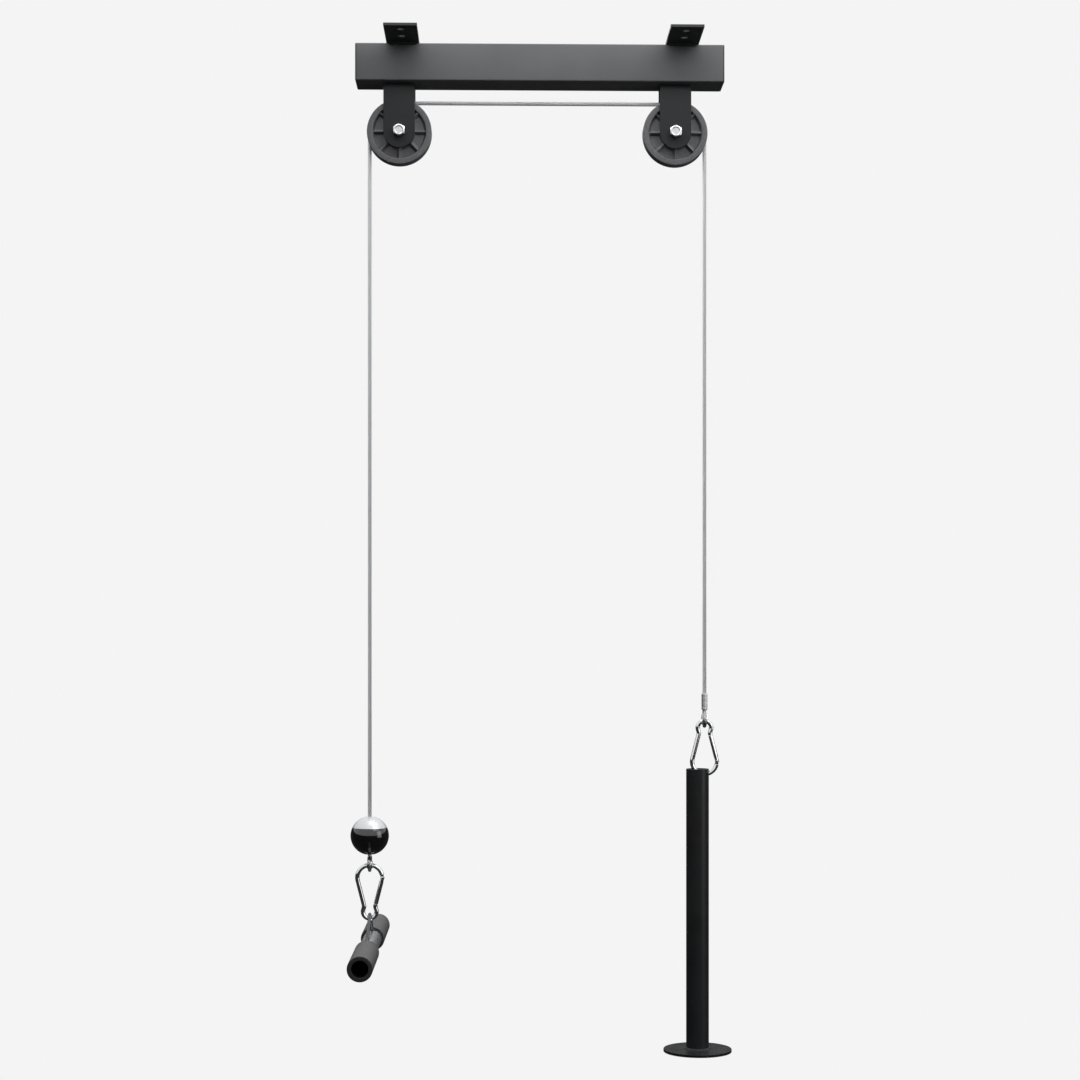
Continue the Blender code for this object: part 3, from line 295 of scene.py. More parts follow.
SPRING_TURN_STEPS = 16
SPRING_SIDES = 8
SPRING_CLOSING = 0.06
RIVET_RADIUS = 1.0 * MM
RIVET_HEAD_RADIUS = 1.6 * MM
RIVET_HEAD_HEIGHT = 0.5 * MM
RIVET_HEAD_EDGE = 0.2 * MM

# Handle, hanger and grips
RING_WIRE_LEFT = -1189.5 * MM
HANDLE_Z = -1226.5 * MM
HANDLE_HALF = 208.0 * MM
HANDLE_RADIUS = 12.5 * MM
HANDLE_WALL = 1.5 * MM
HANDLE_INNER_EDGE = 0.3 * MM
HANDLE_OUTER_EDGE = 0.4 * MM
HANDLE_END_PLAY = 0.2 * MM
HANGER_RADIUS = 2.25 * MM
HANGER_DOME = 0.6
HANGER_REACH = 60.0 * MM
HANGER_FOOT = 8.0 * MM
HANGER_BEND = 5.55 * MM
HANGER_BEND_STEPS = 12
HANGER_KNEE_BEND = 7.0 * MM
HANGER_KNEE_STEPS = 8
HANGER_BEAD = 1.3 * MM
HANGER_BEAD_INSET = 0.75
GRIP_LENGTH = 144.0 * MM
GRIP_RADIUS = 16.5 * MM
GRIP_BORE = 12.7 * MM
GRIP_LIP_RADIUS = 11.0 * MM
GRIP_LIP = 1.0 * MM
GRIP_INNER_ROUND = 0.3 * MM

# Weight post
POST_X = 215.5 * MM
POST_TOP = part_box("post_tube")[1].z
POST_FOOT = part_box("post_tube")[0].z
POST_RADIUS = 15.5 * MM
POST_WALL = 2.5 * MM
POST_HOLE_RADIUS = 4.3 * MM
POST_HOLE_EDGE = 0.3 * MM
POST_HOLE_Z = JOINTS["post_swing"]["pos_m"][2]
DISC_RADIUS = 46.5 * MM
DISC_TOP = -1368.3 * MM
DISC_THICKNESS = 4.0 * MM
DISC_EDGE = 0.6 * MM

# Facets and edges
ROUND_STEPS = 96
SMALL_STEPS = 48
WIRE_SIDES = 24
BEND_STEPS = 4
DOME_STEPS = 5
SMOOTH_ANGLE = math.radians(32.0)
BEVEL_ANGLE = math.radians(35.0)
BEVEL_STEPS = 3
SPECK = 0.02
OVERRUN = 2.0 * MM

# Weld beads
BEAD_STEP = 0.35 * MM
BEAD_RIPPLE = 1.6 * MM
BEAD_RIPPLE_RISE = 0.07
BEAD_END_SHARE = 0.35
BEAD_BULGE = 0.12
BEAD_SECTION_STEPS = 6
BEAD_INSET = 1.5 * MM
INNER_BEAD_SHARE = 0.7

# Studio
CAMERA_PLACE = (-0.0567, -2.8427, -0.8130)
CAMERA_TURN = math.radians(-1.15)
CAMERA_LENS = 69.5
CAMERA_SENSOR = 36.0
CAMERA_SHIFT = 0.0943
STAGE_STEPS = 128
FLOOR_Z = -2.32
FLOOR_RADIUS = 8.0
FLOOR_FADE = (1.2, 3.0)
FLOOR_LIT_SHARE = 0.4
FLOOR_BOUNCE = (0.06, 0.06, 0.06, 1.0)
FLAG_COLOUR = (0.035, 0.035, 0.036, 1.0)
FLAG_RADIUS = 6.0
FLAG_LIFT = 0.01
FLAG_TOP = -0.15
FLAG_DIP = 0.55
FLAG_RISE = 0.8
SKY_BAND = (0.6, 1.0)
SKY_SIDES = (0.8, 1.15)

# Lamps: how far each is turned to the right and lifted, its distance and its size
LIT_CENTRE = Vector((0.0, 0.0, -0.65))
KEY_LAMP = (math.radians(45.0), math.radians(36.0), 2.6, (1.8, 0.9))
EDGE_LAMP = (math.radians(62.0), 0.0, 2.4, (1.2, 1.5))
STRIP_PLACE = (0.045, 0.1075, 0.012)
STRIP_SIZE = (0.64, 0.155)

# Range that holds most of a pattern's values
PATTERN_LOW = 0.3
PATTERN_HIGH = 0.7

# Places of sockets on a colour mix node
MIX_A = 6
MIX_B = 7
MIX_RESULT = 2


def linear(code):
    """Turn an sRGB hex code into linear red, green and blue."""
    parts = [int(code[i:i + 2], 16) / 255 for i in (1, 3, 5)]
    return [p / 12.92 if p <= 0.04045 else ((p + 0.055) / 1.055) ** 2.4 for p in parts]


# Settings that a user would change


class LATPULLEY_PG_stage(bpy.types.PropertyGroup):
    """Studio round the object."""

    background: bpy.props.FloatVectorProperty(
        name="Background", description="Colour that the camera sees behind the object",
        default=linear("#f4f4f4"), subtype="COLOR", min=0.0, max=1.0)
    sky: bpy.props.FloatProperty(
        name="Sky light", description="Strength of the soft light from above", default=2.8, min=0.0)
    key_power: bpy.props.FloatProperty(
        name="Key lamp", description="Power of the soft lamp at the front right",
        default=10.0, min=0.0, subtype="POWER")
    edge_power: bpy.props.FloatProperty(
        name="Edge lamp", description="Power of the broad lamp at the right",
        default=9.0, min=0.0, subtype="POWER")
    strip_power: bpy.props.FloatProperty(
        name="Strip lamps", description="Power of each lamp that lies over an edge of the beam",
        default=0.8, min=0.0, subtype="POWER")


class LATPULLEY_PG_frame(bpy.types.PropertyGroup):
    """Beam, ceiling plates and yokes."""

    # The beam's coat is lighter than the plates' black coat, partly as painted light for the light that the
    # beam's front catches
    beam: bpy.props.FloatVectorProperty(
        name="Beam", description="Colour of the beam's powder coat",
        default=linear("#535456"), subtype="COLOR", min=0.0, max=1.0)
    coat: bpy.props.FloatVectorProperty(
        name="Plates", description="Colour of the powder coat on the plates, the yokes and the post",
        default=linear("#262729"), subtype="COLOR", min=0.0, max=1.0)
    cap: bpy.props.FloatVectorProperty(
        name="End caps", description="Colour of the beam's end caps",
        default=linear("#26272a"), subtype="COLOR", min=0.0, max=1.0)
    edge: bpy.props.FloatProperty(
        name="Edge", description="Rounding of the cut edges of the plates",
        default=0.5 * MM, min=0.1 * MM, max=1.5 * MM, unit="LENGTH")
    bead: bpy.props.FloatProperty(
        name="Weld bead", description="Leg of the weld beads",
        default=2.4 * MM, min=1.0 * MM, max=5.0 * MM, unit="LENGTH")


class LATPULLEY_PG_pulley(bpy.types.PropertyGroup):
    """Sheaves, bearings and axles."""

    nylon: bpy.props.FloatVectorProperty(
        name="Nylon", description="Colour of the sheaves",
        default=linear("#68696c"), subtype="COLOR", min=0.0, max=1.0)
    zinc: bpy.props.FloatVectorProperty(
        name="Zinc", description="Colour of the bolts, washers and nuts",
        default=linear("#dcdee0"), subtype="COLOR", min=0.0, max=1.0)
    pitch: bpy.props.FloatProperty(
        name="Thread pitch", description="Distance between the bolt's thread crests",
        default=1.5 * MM, min=0.5 * MM, max=3.0 * MM, unit="LENGTH")


class LATPULLEY_PG_cable(bpy.types.PropertyGroup):
    """Cable, its ferrule and its end loops."""

    wire: bpy.props.FloatVectorProperty(
        name="Wire", description="Colour of the galvanised wires",
        default=linear("#dcdddf"), subtype="COLOR", min=0.0, max=1.0)
    lay: bpy.props.FloatProperty(
        name="Lay", description="Length in which a strand goes once round the cable",
        default=36.0 * MM, min=15.0 * MM, max=80.0 * MM, unit="LENGTH")
    ferrule: bpy.props.FloatVectorProperty(
        name="Ferrule", description="Colour of the pressed aluminium ferrule",
        default=linear("#d6d7d8"), subtype="COLOR", min=0.0, max=1.0)


class LATPULLEY_PG_ball(bpy.types.PropertyGroup):
    """Stopper ball."""

    body: bpy.props.FloatVectorProperty(
        name="Ball", description="Colour of the ball's body",
        default=linear("#131416"), subtype="COLOR", min=0.0, max=1.0)
    cap: bpy.props.FloatVectorProperty(
        name="Cap", description="Colour of the ball's cap",
        default=linear("#e2e3e4"), subtype="COLOR", min=0.0, max=1.0)
    seam: bpy.props.FloatProperty(
        name="Seam", description="Width of the seam round the ball",
        default=0.5 * MM, min=0.1 * MM, max=1.0 * MM, unit="LENGTH")


class LATPULLEY_PG_hook(bpy.types.PropertyGroup):
    """Snap hooks and hanger."""

    chrome: bpy.props.FloatVectorProperty(
        name="Chrome", description="Colour of the chromed steel",
        default=linear("#e4e6e8"), subtype="COLOR", min=0.0, max=1.0)
    # The hanger's metal is drawn dark grey, darker than the chrome
    hanger: bpy.props.FloatVectorProperty(
        name="Hanger", description="Colour of the hanger's black chrome",
        default=linear("#68696b"), subtype="COLOR", min=0.0, max=1.0)


class LATPULLEY_PG_handle(bpy.types.PropertyGroup):
    """Handle and grips."""

    foam: bpy.props.FloatVectorProperty(
        name="Foam", description="Colour of the grips' skin",
        default=linear("#585859"), subtype="COLOR", min=0.0, max=1.0)
    # The cut ends are darker than the skin partly from their open pores, and partly as painted shade
    cut_foam_and_shade: bpy.props.FloatVectorProperty(
        name="Cut foam", description="Colour of the grips' cut ends",
        default=linear("#3a3a3b"), subtype="COLOR", min=0.0, max=1.0)
    end_round: bpy.props.FloatProperty(
        name="Grip end", description="Rounding of the grips' ends",
        default=1.5 * MM, min=0.3 * MM, max=3.0 * MM, unit="LENGTH")


class LATPULLEY_PG_post(bpy.types.PropertyGroup):
    """Weight post."""

    rim_round: bpy.props.FloatProperty(
        name="Rim", description="Rounding of the post's open rim",
        default=0.8 * MM, min=0.2 * MM, max=1.2 * MM, unit="LENGTH")
    bead: bpy.props.FloatProperty(
        name="Weld bead", description="Leg of the weld bead round the post's foot",
        default=2.2 * MM, min=1.0 * MM, max=4.0 * MM, unit="LENGTH")


SETTINGS = {
    "lat_stage": LATPULLEY_PG_stage,
    "lat_frame": LATPULLEY_PG_frame,
    "lat_pulley": LATPULLEY_PG_pulley,
    "lat_cable": LATPULLEY_PG_cable,
    "lat_ball": LATPULLEY_PG_ball,
    "lat_hook": LATPULLEY_PG_hook,
    "lat_handle": LATPULLEY_PG_handle,
    "lat_post": LATPULLEY_PG_post,
}


# Lines and sections


def arc(centre, radius, start, end, steps):
    """Points on an arc from one angle to another, both included."""
    turns = [start + (end - start) * i / steps for i in range(steps + 1)]
    return [(centre[0] + radius * math.cos(a), centre[1] + radius * math.sin(a)) for a in turns]


def bend(before, corner, after, radius, steps=BEND_STEPS):
    """Points of a round bend between two straight runs, in place of their corner."""
    p, q, r = Vector(before), Vector(corner), Vector(after)
    to_before = (p - q).normalized()
    to_after = (r - q).normalized()
    half = to_before.angle(to_after) / 2
    centre = q + (to_before + to_after).normalized() * (radius / math.sin(half))
    start = q + to_before * (radius / math.tan(half)) - centre
    sweep = start.angle_signed(q + to_after * (radius / math.tan(half)) - centre)
    angle = math.atan2(start.y, start.x)
    return arc(centre, radius, angle, angle - sweep, steps)


def rounded(points, steps=BEND_STEPS):
    """Outline with a round bend at each point that gives a radius as its third number."""
    outline = []
    count = len(points)
    for i, point in enumerate(points):
        if len(point) == 2:
            outline.append(point)
        else:
            before, after = points[i - 1][:2], points[(i + 1) % count][:2]
            outline += bend(before, point[:2], after, point[2], steps)
    return outline


def circle(radius, sides):
    """Round section."""
    return [(radius * math.cos(math.tau * i / sides), radius * math.sin(math.tau * i / sides))
            for i in range(sides)]


def rounded_square(size, radius, steps=6):
    """Outline of a square with round corners."""
    reach = size / 2 - radius
    points = []
    for i, (sx, sy) in enumerate(((1, 1), (-1, 1), (-1, -1), (1, -1))):
        start = i * math.pi / 2
        points += arc((sx * reach, sy * reach), radius, start, start + math.pi / 2, steps)
    return points


def obround(half_x, half_y, steps=SMALL_STEPS):
    """Outline with round ends and straight sides, longer along y."""
    points = []
    for i in range(steps):
        angle = math.tau * (i + 0.5) / steps
        shift = math.copysign(half_y - half_x, math.sin(angle))
        points.append((half_x * math.cos(angle), half_x * math.sin(angle) + shift))
    return points


def evenly(path, step):
    """Points at even distances along a line of points, with both of its ends."""
    lengths = [0.0]
    for a, b in zip(path, path[1:]):
        lengths.append(lengths[-1] + math.dist(a, b))
    count = max(1, round(lengths[-1] / step))
    points = []
    k = 0
    for i in range(count + 1):
        wanted = lengths[-1] * i / count
        while k < len(path) - 2 and lengths[k + 1] < wanted:
            k += 1
        share = (wanted - lengths[k]) / (lengths[k + 1] - lengths[k])
        points.append(tuple(a + (b - a) * share for a, b in zip(path[k], path[k + 1])))
    return points


def sweep(path, sections):
    """Rings of sections laid along a path in a plane, as (along, up, out) points."""
    rings = []
    last = len(path) - 1
    for i, (point, section) in enumerate(zip(path, sections)):
        direction = (Vector(path[min(i + 1, last)]) - Vector(path[max(i - 1, 0)])).normalized()
        left = Vector((-direction.y, direction.x))
        rings.append([(point[0] + left.x * a, point[1] + left.y * a, b) for a, b in section])
    return rings


def rod(path, radius, sides=WIRE_SIDES, start_dome=0.0, end_dome=0.0):
    """Rings of a round rod along a path, with ends domed by a share of its radius."""
    stations = [(point, radius) for point in path]
    if end_dome:
        stations = stations[:-1] + dome(path[-2], path[-1], radius, end_dome)
    if start_dome:
        stations = dome(path[1], path[0], radius, start_dome)[::-1] + stations[1:]
    return sweep([point for point, _ in stations], [circle(r, sides) for _, r in stations])


def dome(before, end, radius, share):
    """Centres and radii that close a rod's end inside its length."""
    direction = (Vector(end) - Vector(before)).normalized()
    base = Vector(end) - direction * radius * share
    stations = []
    for i in range(DOME_STEPS + 1):
        angle = math.pi / 2 * i / DOME_STEPS
        centre = base + direction * radius * share * math.sin(angle)
        stations.append((tuple(centre), radius * max(math.cos(angle), SPECK)))
    return stations


def in_xz(rings):
    """Lay swept rings in the X-Z plane."""
    return [[(a, c, b) for a, b, c in ring] for ring in rings]


def in_yz(rings):
    """Lay swept rings in the Y-Z plane."""
    return [[(c, a, b) for a, b, c in ring] for ring in rings]


# Meshes


def ring_mesh(name, rings, closed=False, along=None, slots=None):
    """Skin rings of equal count into one closed body with outward faces.

    U runs round each ring, and V gives the distance along the rings in metres.
    """
    count = len(rings[0])
    total = len(rings)
    if along is None:
        along = [0.0]
        for a, b in zip(rings, rings[1:]):
            along.append(along[-1] + math.dist(a[0], b[0]))
    bands = total if closed else total - 1
    faces = []
    places = []
    for a in range(bands):
        b = (a + 1) % total
        low = along[a]
        high = along[b] if b else low + math.dist(rings[a][0], rings[b][0])
        for i in range(count):
            j = (i + 1) % count
            faces.append((a * count + i, a * count + j, b * count + j, b * count + i))
            u, v = i / count, (i + 1) / count
            places += [u, low, v, low, v, high, u, high]
    if not closed:
        last = (total - 1) * count
        faces += [tuple(range(count))[::-1], tuple(range(last, last + count))]
        places += [0.0] * (4 * count)
    mesh = bpy.data.meshes.new(name)
    mesh.from_pydata([point for ring in rings for point in ring], [], faces)
    mesh.uv_layers.new(name="Length").uv.foreach_set("vector", places)
    if slots:
        marks = [slot for slot in slots[:bands] for _ in range(count)]
        marks += [slots[0], slots[-1]] if not closed else []
        mesh.polygons.foreach_set("material_index", marks)
    return outward(mesh)


def outward(mesh):
    """Turn a closed mesh's faces outward, and smooth all but its edges."""
    bm = bmesh.new()
    bm.from_mesh(mesh)
    if bm.calc_volume(signed=True) < 0:
        bmesh.ops.reverse_faces(bm, faces=bm.faces)
        bm.to_mesh(mesh)
    bm.free()
    mesh.shade_smooth()
    mesh.set_sharp_from_angle(angle=SMOOTH_ANGLE)
    return mesh


def turned(name, profile, steps=ROUND_STEPS, closed=True, axis="Z", slots=None):
    """Turn a profile of (radius, height) points about an axis."""
    turns = [math.tau * i / steps for i in range(steps)]
    rings = [[(r * math.cos(a), r * math.sin(a), h) for a in turns] for r, h in profile]
    if axis == "Y":
        rings = [[(x, z, y) for x, y, z in ring] for ring in rings]
    return ring_mesh(name, rings, closed, slots=slots)


def extruded(name, outline, thickness):
    """Extrude an outline of (x, z) points evenly to both sides along Y."""
    return ring_mesh(name, [[(x, y, z) for x, z in outline] for y in (-thickness / 2, thickness / 2)])


def block(name, half_x, half_y, low, high):
    """Rectangular block between two heights."""
    corners = [(-half_x, -half_y), (half_x, -half_y), (half_x, half_y), (-half_x, half_y)]
    return ring_mesh(name, [[(x, y, z) for x, y in corners] for z in (low, high)])


def drill(radius, low, high, steps=SMALL_STEPS, axis="Z"):
    """Round cutter between two heights on its axis."""
    return turned("drill", [(radius, low), (radius, high)], steps, closed=False, axis=axis)


def joined(name, meshes):
    """One mesh from several."""
    bm = bmesh.new()
    for mesh in meshes:
        bm.from_mesh(mesh)
    whole = bpy.data.meshes.new(name)
    bm.to_mesh(whole)
    bm.free()
    return whole


def moved(mesh, matrix):
    """Move a mesh, and keep its faces outward if the move mirrors it."""
    mesh.transform(matrix)
    if matrix.determinant() < 0:
        mesh.flip_normals()
    return mesh


def modified(mesh, kind, **settings):
    """A mesh after one modifier."""
    obj = bpy.data.objects.new("work", mesh)
    bpy.context.scene.collection.objects.link(obj)
    modifier = obj.modifiers.new("work", kind)
    for key, value in settings.items():
        setattr(modifier, key, value)
    graph = bpy.context.evaluated_depsgraph_get()
    made = bpy.data.meshes.new_from_object(obj.evaluated_get(graph), depsgraph=graph)
    made.name = mesh.name
    bpy.data.objects.remove(obj)
    return made


def carved(mesh, tool_mesh, operation="DIFFERENCE"):
    """A mesh cut by another, or joined with it."""
    tool = bpy.data.objects.new("tool", tool_mesh)
    bpy.context.scene.collection.objects.link(tool)
    made = modified(mesh, "BOOLEAN", operation=operation, object=tool, solver="EXACT")
    bpy.data.objects.remove(tool)
    made.shade_smooth()
    made.set_sharp_from_angle(angle=SMOOTH_ANGLE)
    return made


def bevelled(mesh, width):
    """A mesh with round edges, shaded so that its flat faces stay flat."""
    soft = modified(mesh, "BEVEL", width=width, segments=BEVEL_STEPS, angle_limit=BEVEL_ANGLE)
    soft.shade_smooth()
    soft.set_sharp_from_angle(angle=BEVEL_ANGLE)
    return flat_shaded(soft)


def flat_shaded(mesh):
    """A mesh whose large faces shade flat beside their rounded edges."""
    return modified(mesh, "WEIGHTED_NORMAL", keep_sharp=True, weight=100)


def bead_mesh(name, path, outs, up, leg, closed=False):
    """A weld bead along a corner: a quarter round with the ripples that its pool leaves."""
    rings = []
    last = len(path) - 1
    for i, (point, out) in enumerate(zip(path, outs)):
        ripple = 1 + BEAD_RIPPLE_RISE * math.sin(math.tau * i * BEAD_STEP / BEAD_RIPPLE)
        grown = BEAD_END_SHARE + (1 - BEAD_END_SHARE) * min(i, last - i) * BEAD_STEP / leg
        size = leg * ripple * (1.0 if closed else min(1.0, grown))
        ring = [Vector(point)]
        for k in range(BEAD_SECTION_STEPS + 1):
            share = k / BEAD_SECTION_STEPS
            swell = BEAD_BULGE * math.sin(math.pi * share)
            ring.append(ring[0] + out * size * (1 - share + swell) + up * size * (share + swell))
        rings.append([tuple(p) for p in ring])
    return ring_mesh(name, rings, closed)


def hanging_bead(start_x, end_x, y, z, out, leg):
    """A weld bead along X under a flat face, which grows outward and down from its corner."""
    path = evenly([(start_x, y, z), (end_x, y, z)], BEAD_STEP)
    return bead_mesh("bead", path, [Vector((0, out, 0))] * len(path), Vector((0, 0, -1)), leg)


def add_piece(name, mesh, place, body, materials, nodes=()):
    """Show a mesh as a piece that rides on a body and stands for nodes of the frame."""
    obj = bpy.data.objects.new(name, mesh)
    bpy.context.scene.collection.objects.link(obj)
    obj.location = place
    if not mesh.materials:
        for material in materials:
            mesh.materials.append(material)
    if body:
        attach(obj, body)
    if nodes:
        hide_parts(*nodes)
    return obj


# Materials


def add_node(tree, kind, settings=None, links=None):
    """Add one node with its settings, and link the named inputs to other nodes' outputs."""
    node = tree.nodes.new("ShaderNode" + kind)
    for key, value in (settings or {}).items():
        if isinstance(key, str) and hasattr(node, key):
            setattr(node, key, value)
        else:
            node.inputs[key].default_value = value
    for key, output in (links or {}).items():
        tree.links.new(output, node.inputs[key])
    return node


def surface(name, colour, roughness, metallic=0.0, **sockets):
    """A material with its uniform values on the shader's own sockets, or the one made before."""
    found = bpy.data.materials.get(name)
    if found:
        return found, None, None
    material = bpy.data.materials.new(name)
    material.use_nodes = True
    shader = material.node_tree.nodes["Principled BSDF"]
    values = {"Base Color": (*colour, 1.0), "Roughness": roughness, "Metallic": metallic}
    values.update({key.replace("_", " "): value for key, value in sockets.items()})
    for socket, value in values.items():
        shader.inputs[socket].default_value = value
    return material, material.node_tree, shader


def lumps(tree, size, detail=2.0, stretch=(1.0, 1.0, 1.0)):
    """Uneven lumps of a size in mm, drawn out by a stretch along each axis."""
    spot = add_node(tree, "TexCoord")
    squeeze = [1.0 / s for s in stretch]
    mapping = add_node(tree, "Mapping", {"Scale": squeeze}, {"Vector": spot.outputs["Object"]})
    texture = add_node(tree, "TexNoise", {"Scale": 1.0 / (size * MM), "Detail": detail},
                       {"Vector": mapping.outputs["Vector"]})
    return texture.outputs["Fac"]


def set_roughness(tree, shader, pattern, low, high):
    """Let a pattern vary the roughness between two values."""
    spread = add_node(tree, "MapRange", {"From Min": PATTERN_LOW, "From Max": PATTERN_HIGH,
                                         "To Min": low, "To Max": high},
                      {"Value": pattern})
    tree.links.new(spread.outputs["Result"], shader.inputs["Roughness"])


def set_relief(tree, shader, height, depth):
    """Let a pattern raise the surface by up to a depth in metres."""
    bump = add_node(tree, "Bump", {"Distance": depth}, {"Height": height})
    tree.links.new(bump.outputs["Normal"], shader.inputs["Normal"])


def set_tint(tree, shader, pattern, dark, light, low=PATTERN_LOW, high=PATTERN_HIGH):
    """Let a pattern vary the colour between two."""
    share = add_node(tree, "MapRange", {"From Min": low, "From Max": high}, {"Value": pattern})
    mix = add_node(tree, "Mix", {"data_type": "RGBA", MIX_A: (*dark, 1.0), MIX_B: (*light, 1.0)},
                   {0: share.outputs["Result"]})
    tree.links.new(mix.outputs[MIX_RESULT], shader.inputs["Base Color"])


def shaded(colour, factor):
    """A colour made darker or lighter by a factor."""
    return [min(1.0, channel * factor) for channel in colour]


def patterned(name, colour, roughness, metallic=0.0, relief=None, gloss=None, tint=None, **sockets):
    """A material with patterns of lumps over its even values, or the one made before.

    Relief gives a depth in mm, gloss the lowest and highest roughness, and tint the darkest and
    lightest factor on the colour. Each then gives its lumps: a size in mm, and detail and stretch.
    """
    material, tree, shader = surface(name, colour, roughness, metallic, **sockets)
    if tree and relief:
        depth, *grain = relief
        set_relief(tree, shader, lumps(tree, *grain), depth * MM)
    if tree and gloss:
        low, high, *grain = gloss
        set_roughness(tree, shader, lumps(tree, *grain), low, high)
    if tree and tint:
        dark, light, *grain = tint
        set_tint(tree, shader, lumps(tree, *grain), shaded(colour, dark), shaded(colour, light))
    return material


def powder_coat(name, colour, roughness=0.55, specular=0.26):
    """Polyester powder on steel: matt to satin, with the fine peel of baked powder."""
    # The peel of baked powder is about 0.8 mm across and a few hundredths deep
    return patterned(name, colour, roughness, relief=(0.02, 0.8),
                     gloss=(roughness - 0.05, roughness + 0.05, 22.0), tint=(0.93, 1.06, 45.0),
                     Specular_IOR_Level=specular)


def cap_plastic(colour):
    """Moulded polyethylene: a waxy, slightly uneven sheen."""
    # Spark-eroded mould texture with grains of 0.6 mm
    return patterned("Moulded polyethylene", colour, 0.5, relief=(0.015, 0.6), gloss=(0.44, 0.56, 9.0))


def glass_nylon(colour):
    """Moulded glass-filled nylon: satin, faintly streaked by the fibres' flow."""
    # Fibre bundles swirl in streaks about 5 mm long, and the skin's grain is 0.5 mm
    return patterned("Glass-filled nylon", colour, 0.24, relief=(0.012, 0.5), gloss=(0.18, 0.28, 12.0),
                     tint=(0.9, 1.1, 5.0, 4.0))


def zinc_plate(colour):
    """Bright zinc plate on cold-formed steel: silvery, with a soft uneven bloom."""
    # The bloom lies in patches of about 3 mm, over forming marks of 0.3 mm
    return patterned("Zinc-plated steel", colour, 0.27, metallic=1.0, relief=(0.006, 0.3),
                     gloss=(0.22, 0.36, 2.0), tint=(0.88, 1.0, 3.0))


def bearing_steel():
    """Ground chromium steel: bright, with faint uneven patches from the grinding wheel."""
    colour = linear("#b9bbbe")
    return patterned("Ground bearing steel", colour, 0.18, metallic=1.0, gloss=(0.14, 0.26, 1.5))


def wire_rope(name, colour, lay, roughness):
    """Galvanised steel rope: bright wires that run with the rope, dark grease and painted shade between the
    strands.
    """
    material, tree, shader = surface(name, colour, roughness, metallic=1.0)
    if tree:
        spot = add_node(tree, "UVMap", {"uv_map": "Length"})
        parts = add_node(tree, "SeparateXYZ", links={0: spot.outputs["UV"]})
        # Each strand shows five wires, each as wide as a fifth of the strand
        turn = add_node(tree, "Math", {"operation": "DIVIDE", 1: lay}, {0: parts.outputs["Y"]})
        round_rope = add_node(tree, "Math", {"operation": "ADD"},
                              {0: parts.outputs["X"], 1: turn.outputs[0]})
        phase = add_node(tree, "Math", {"operation": "MULTIPLY", 1: math.tau * STRANDS * STRAND_WIRES},
                         {0: round_rope.outputs[0]})
        wires = add_node(tree, "Math", {"operation": "SINE"}, {0: phase.outputs[0]})
        set_relief(tree, shader, wires.outputs[0], 0.05 * MM)
        # Grease and painted shade darken the valley between two strands
        strand = add_node(tree, "Math", {"operation": "MULTIPLY", 1: float(STRANDS)},
                          {0: parts.outputs["X"]})
        within = add_node(tree, "Math", {"operation": "PINGPONG", 1: 0.5}, {0: strand.outputs[0]})
        set_tint(tree, shader, within.outputs[0], shaded(colour, 0.5), colour, 0.02, 0.14)
    return material


def chrome(colour):
    """Polished chromium plate: a near mirror, softened in places by handling."""
    # Handling leaves smears about 14 mm across
    return patterned("Polished chrome plate", colour, 0.07, metallic=1.0, gloss=(0.05, 0.13, 14.0))


def satin_chrome(colour):
    """Chromium plate over brushed tube: a soft grey sheen with fine lengthwise lines."""
    # Brushing lines are 0.3 mm wide and run about 7 mm along the tube
    lines = (0.3, 3.0, (1.0, 24.0, 1.0))
    return patterned("Satin chrome plate", colour, 0.3, metallic=1.0, gloss=(0.26, 0.34, *lines))


def dark_grey_metal(colour):
    """Metal on bent rod, its colour drawn dark grey: a dark grey mirror, slightly blurred."""
    return patterned("Dark grey metal", colour, 0.28, metallic=1.0, gloss=(0.24, 0.34, 8.0))


def gloss_plastic(colour):
    """Moulded ABS under clear lacquer: a deep black with a strong, very slightly wavy shine."""
    # Sink in the moulding gives waves about 18 mm across
    return patterned("Lacquered ABS", colour, 0.12, relief=(0.03, 18.0), gloss=(0.09, 0.17, 10.0),
                     Specular_IOR_Level=0.8, Coat_Weight=0.6, Coat_Roughness=0.05)


def satin_silver(colour):
    """Satin silver lacquer on ABS: pale, with a broad soft highlight from its metal flakes."""
    # Flakes lie in grains of about 0.25 mm
    return patterned("Silver-lacquered ABS", colour, 0.36, metallic=0.75, gloss=(0.32, 0.4, 6.0),
                     tint=(0.9, 1.05, 0.25))


def pressed_aluminium(colour):
    """Aluminium swaged in a press: soft grey shine with drawn marks along its length."""
    # Drawing marks are 0.25 mm wide and run about 6 mm along the sleeve
    marks = (0.25, 3.0, (1.0, 1.0, 24.0))
    return patterned("Pressed aluminium", colour, 0.42, metallic=1.0, relief=(0.01, *marks),
                     gloss=(0.38, 0.48, *marks))


def foam(colour):
    """Closed-cell nitrile foam: matt, soft to look at, with an open skin of fine pores."""
    # Pores of 0.35 mm are drawn 0.7 mm wide, so that they show
    pores = (0.7, 3.0)
    return patterned("Nitrile foam", colour, 0.55, relief=(0.12, *pores), tint=(0.8, 1.08, *pores))


def cut_foam_and_shade(colour):
    """Nitrile foam where a blade cut it: open pores that swallow light, and a darker colour that is partly
    painted shade on the grips' ends.
    """
    # Opened pores are about 0.6 mm across
    return patterned("Cut nitrile foam with painted shade", colour, 0.75, relief=(0.15, 0.6, 3.0), Specular_IOR_Level=0.25)


def shrink_sleeve():
    """Polyolefin shrink tube: black with a soft sheen, and faint dents over the wires below."""
    return patterned("Polyolefin shrink tube", linear("#161719"), 0.4, relief=(0.03, 1.2))


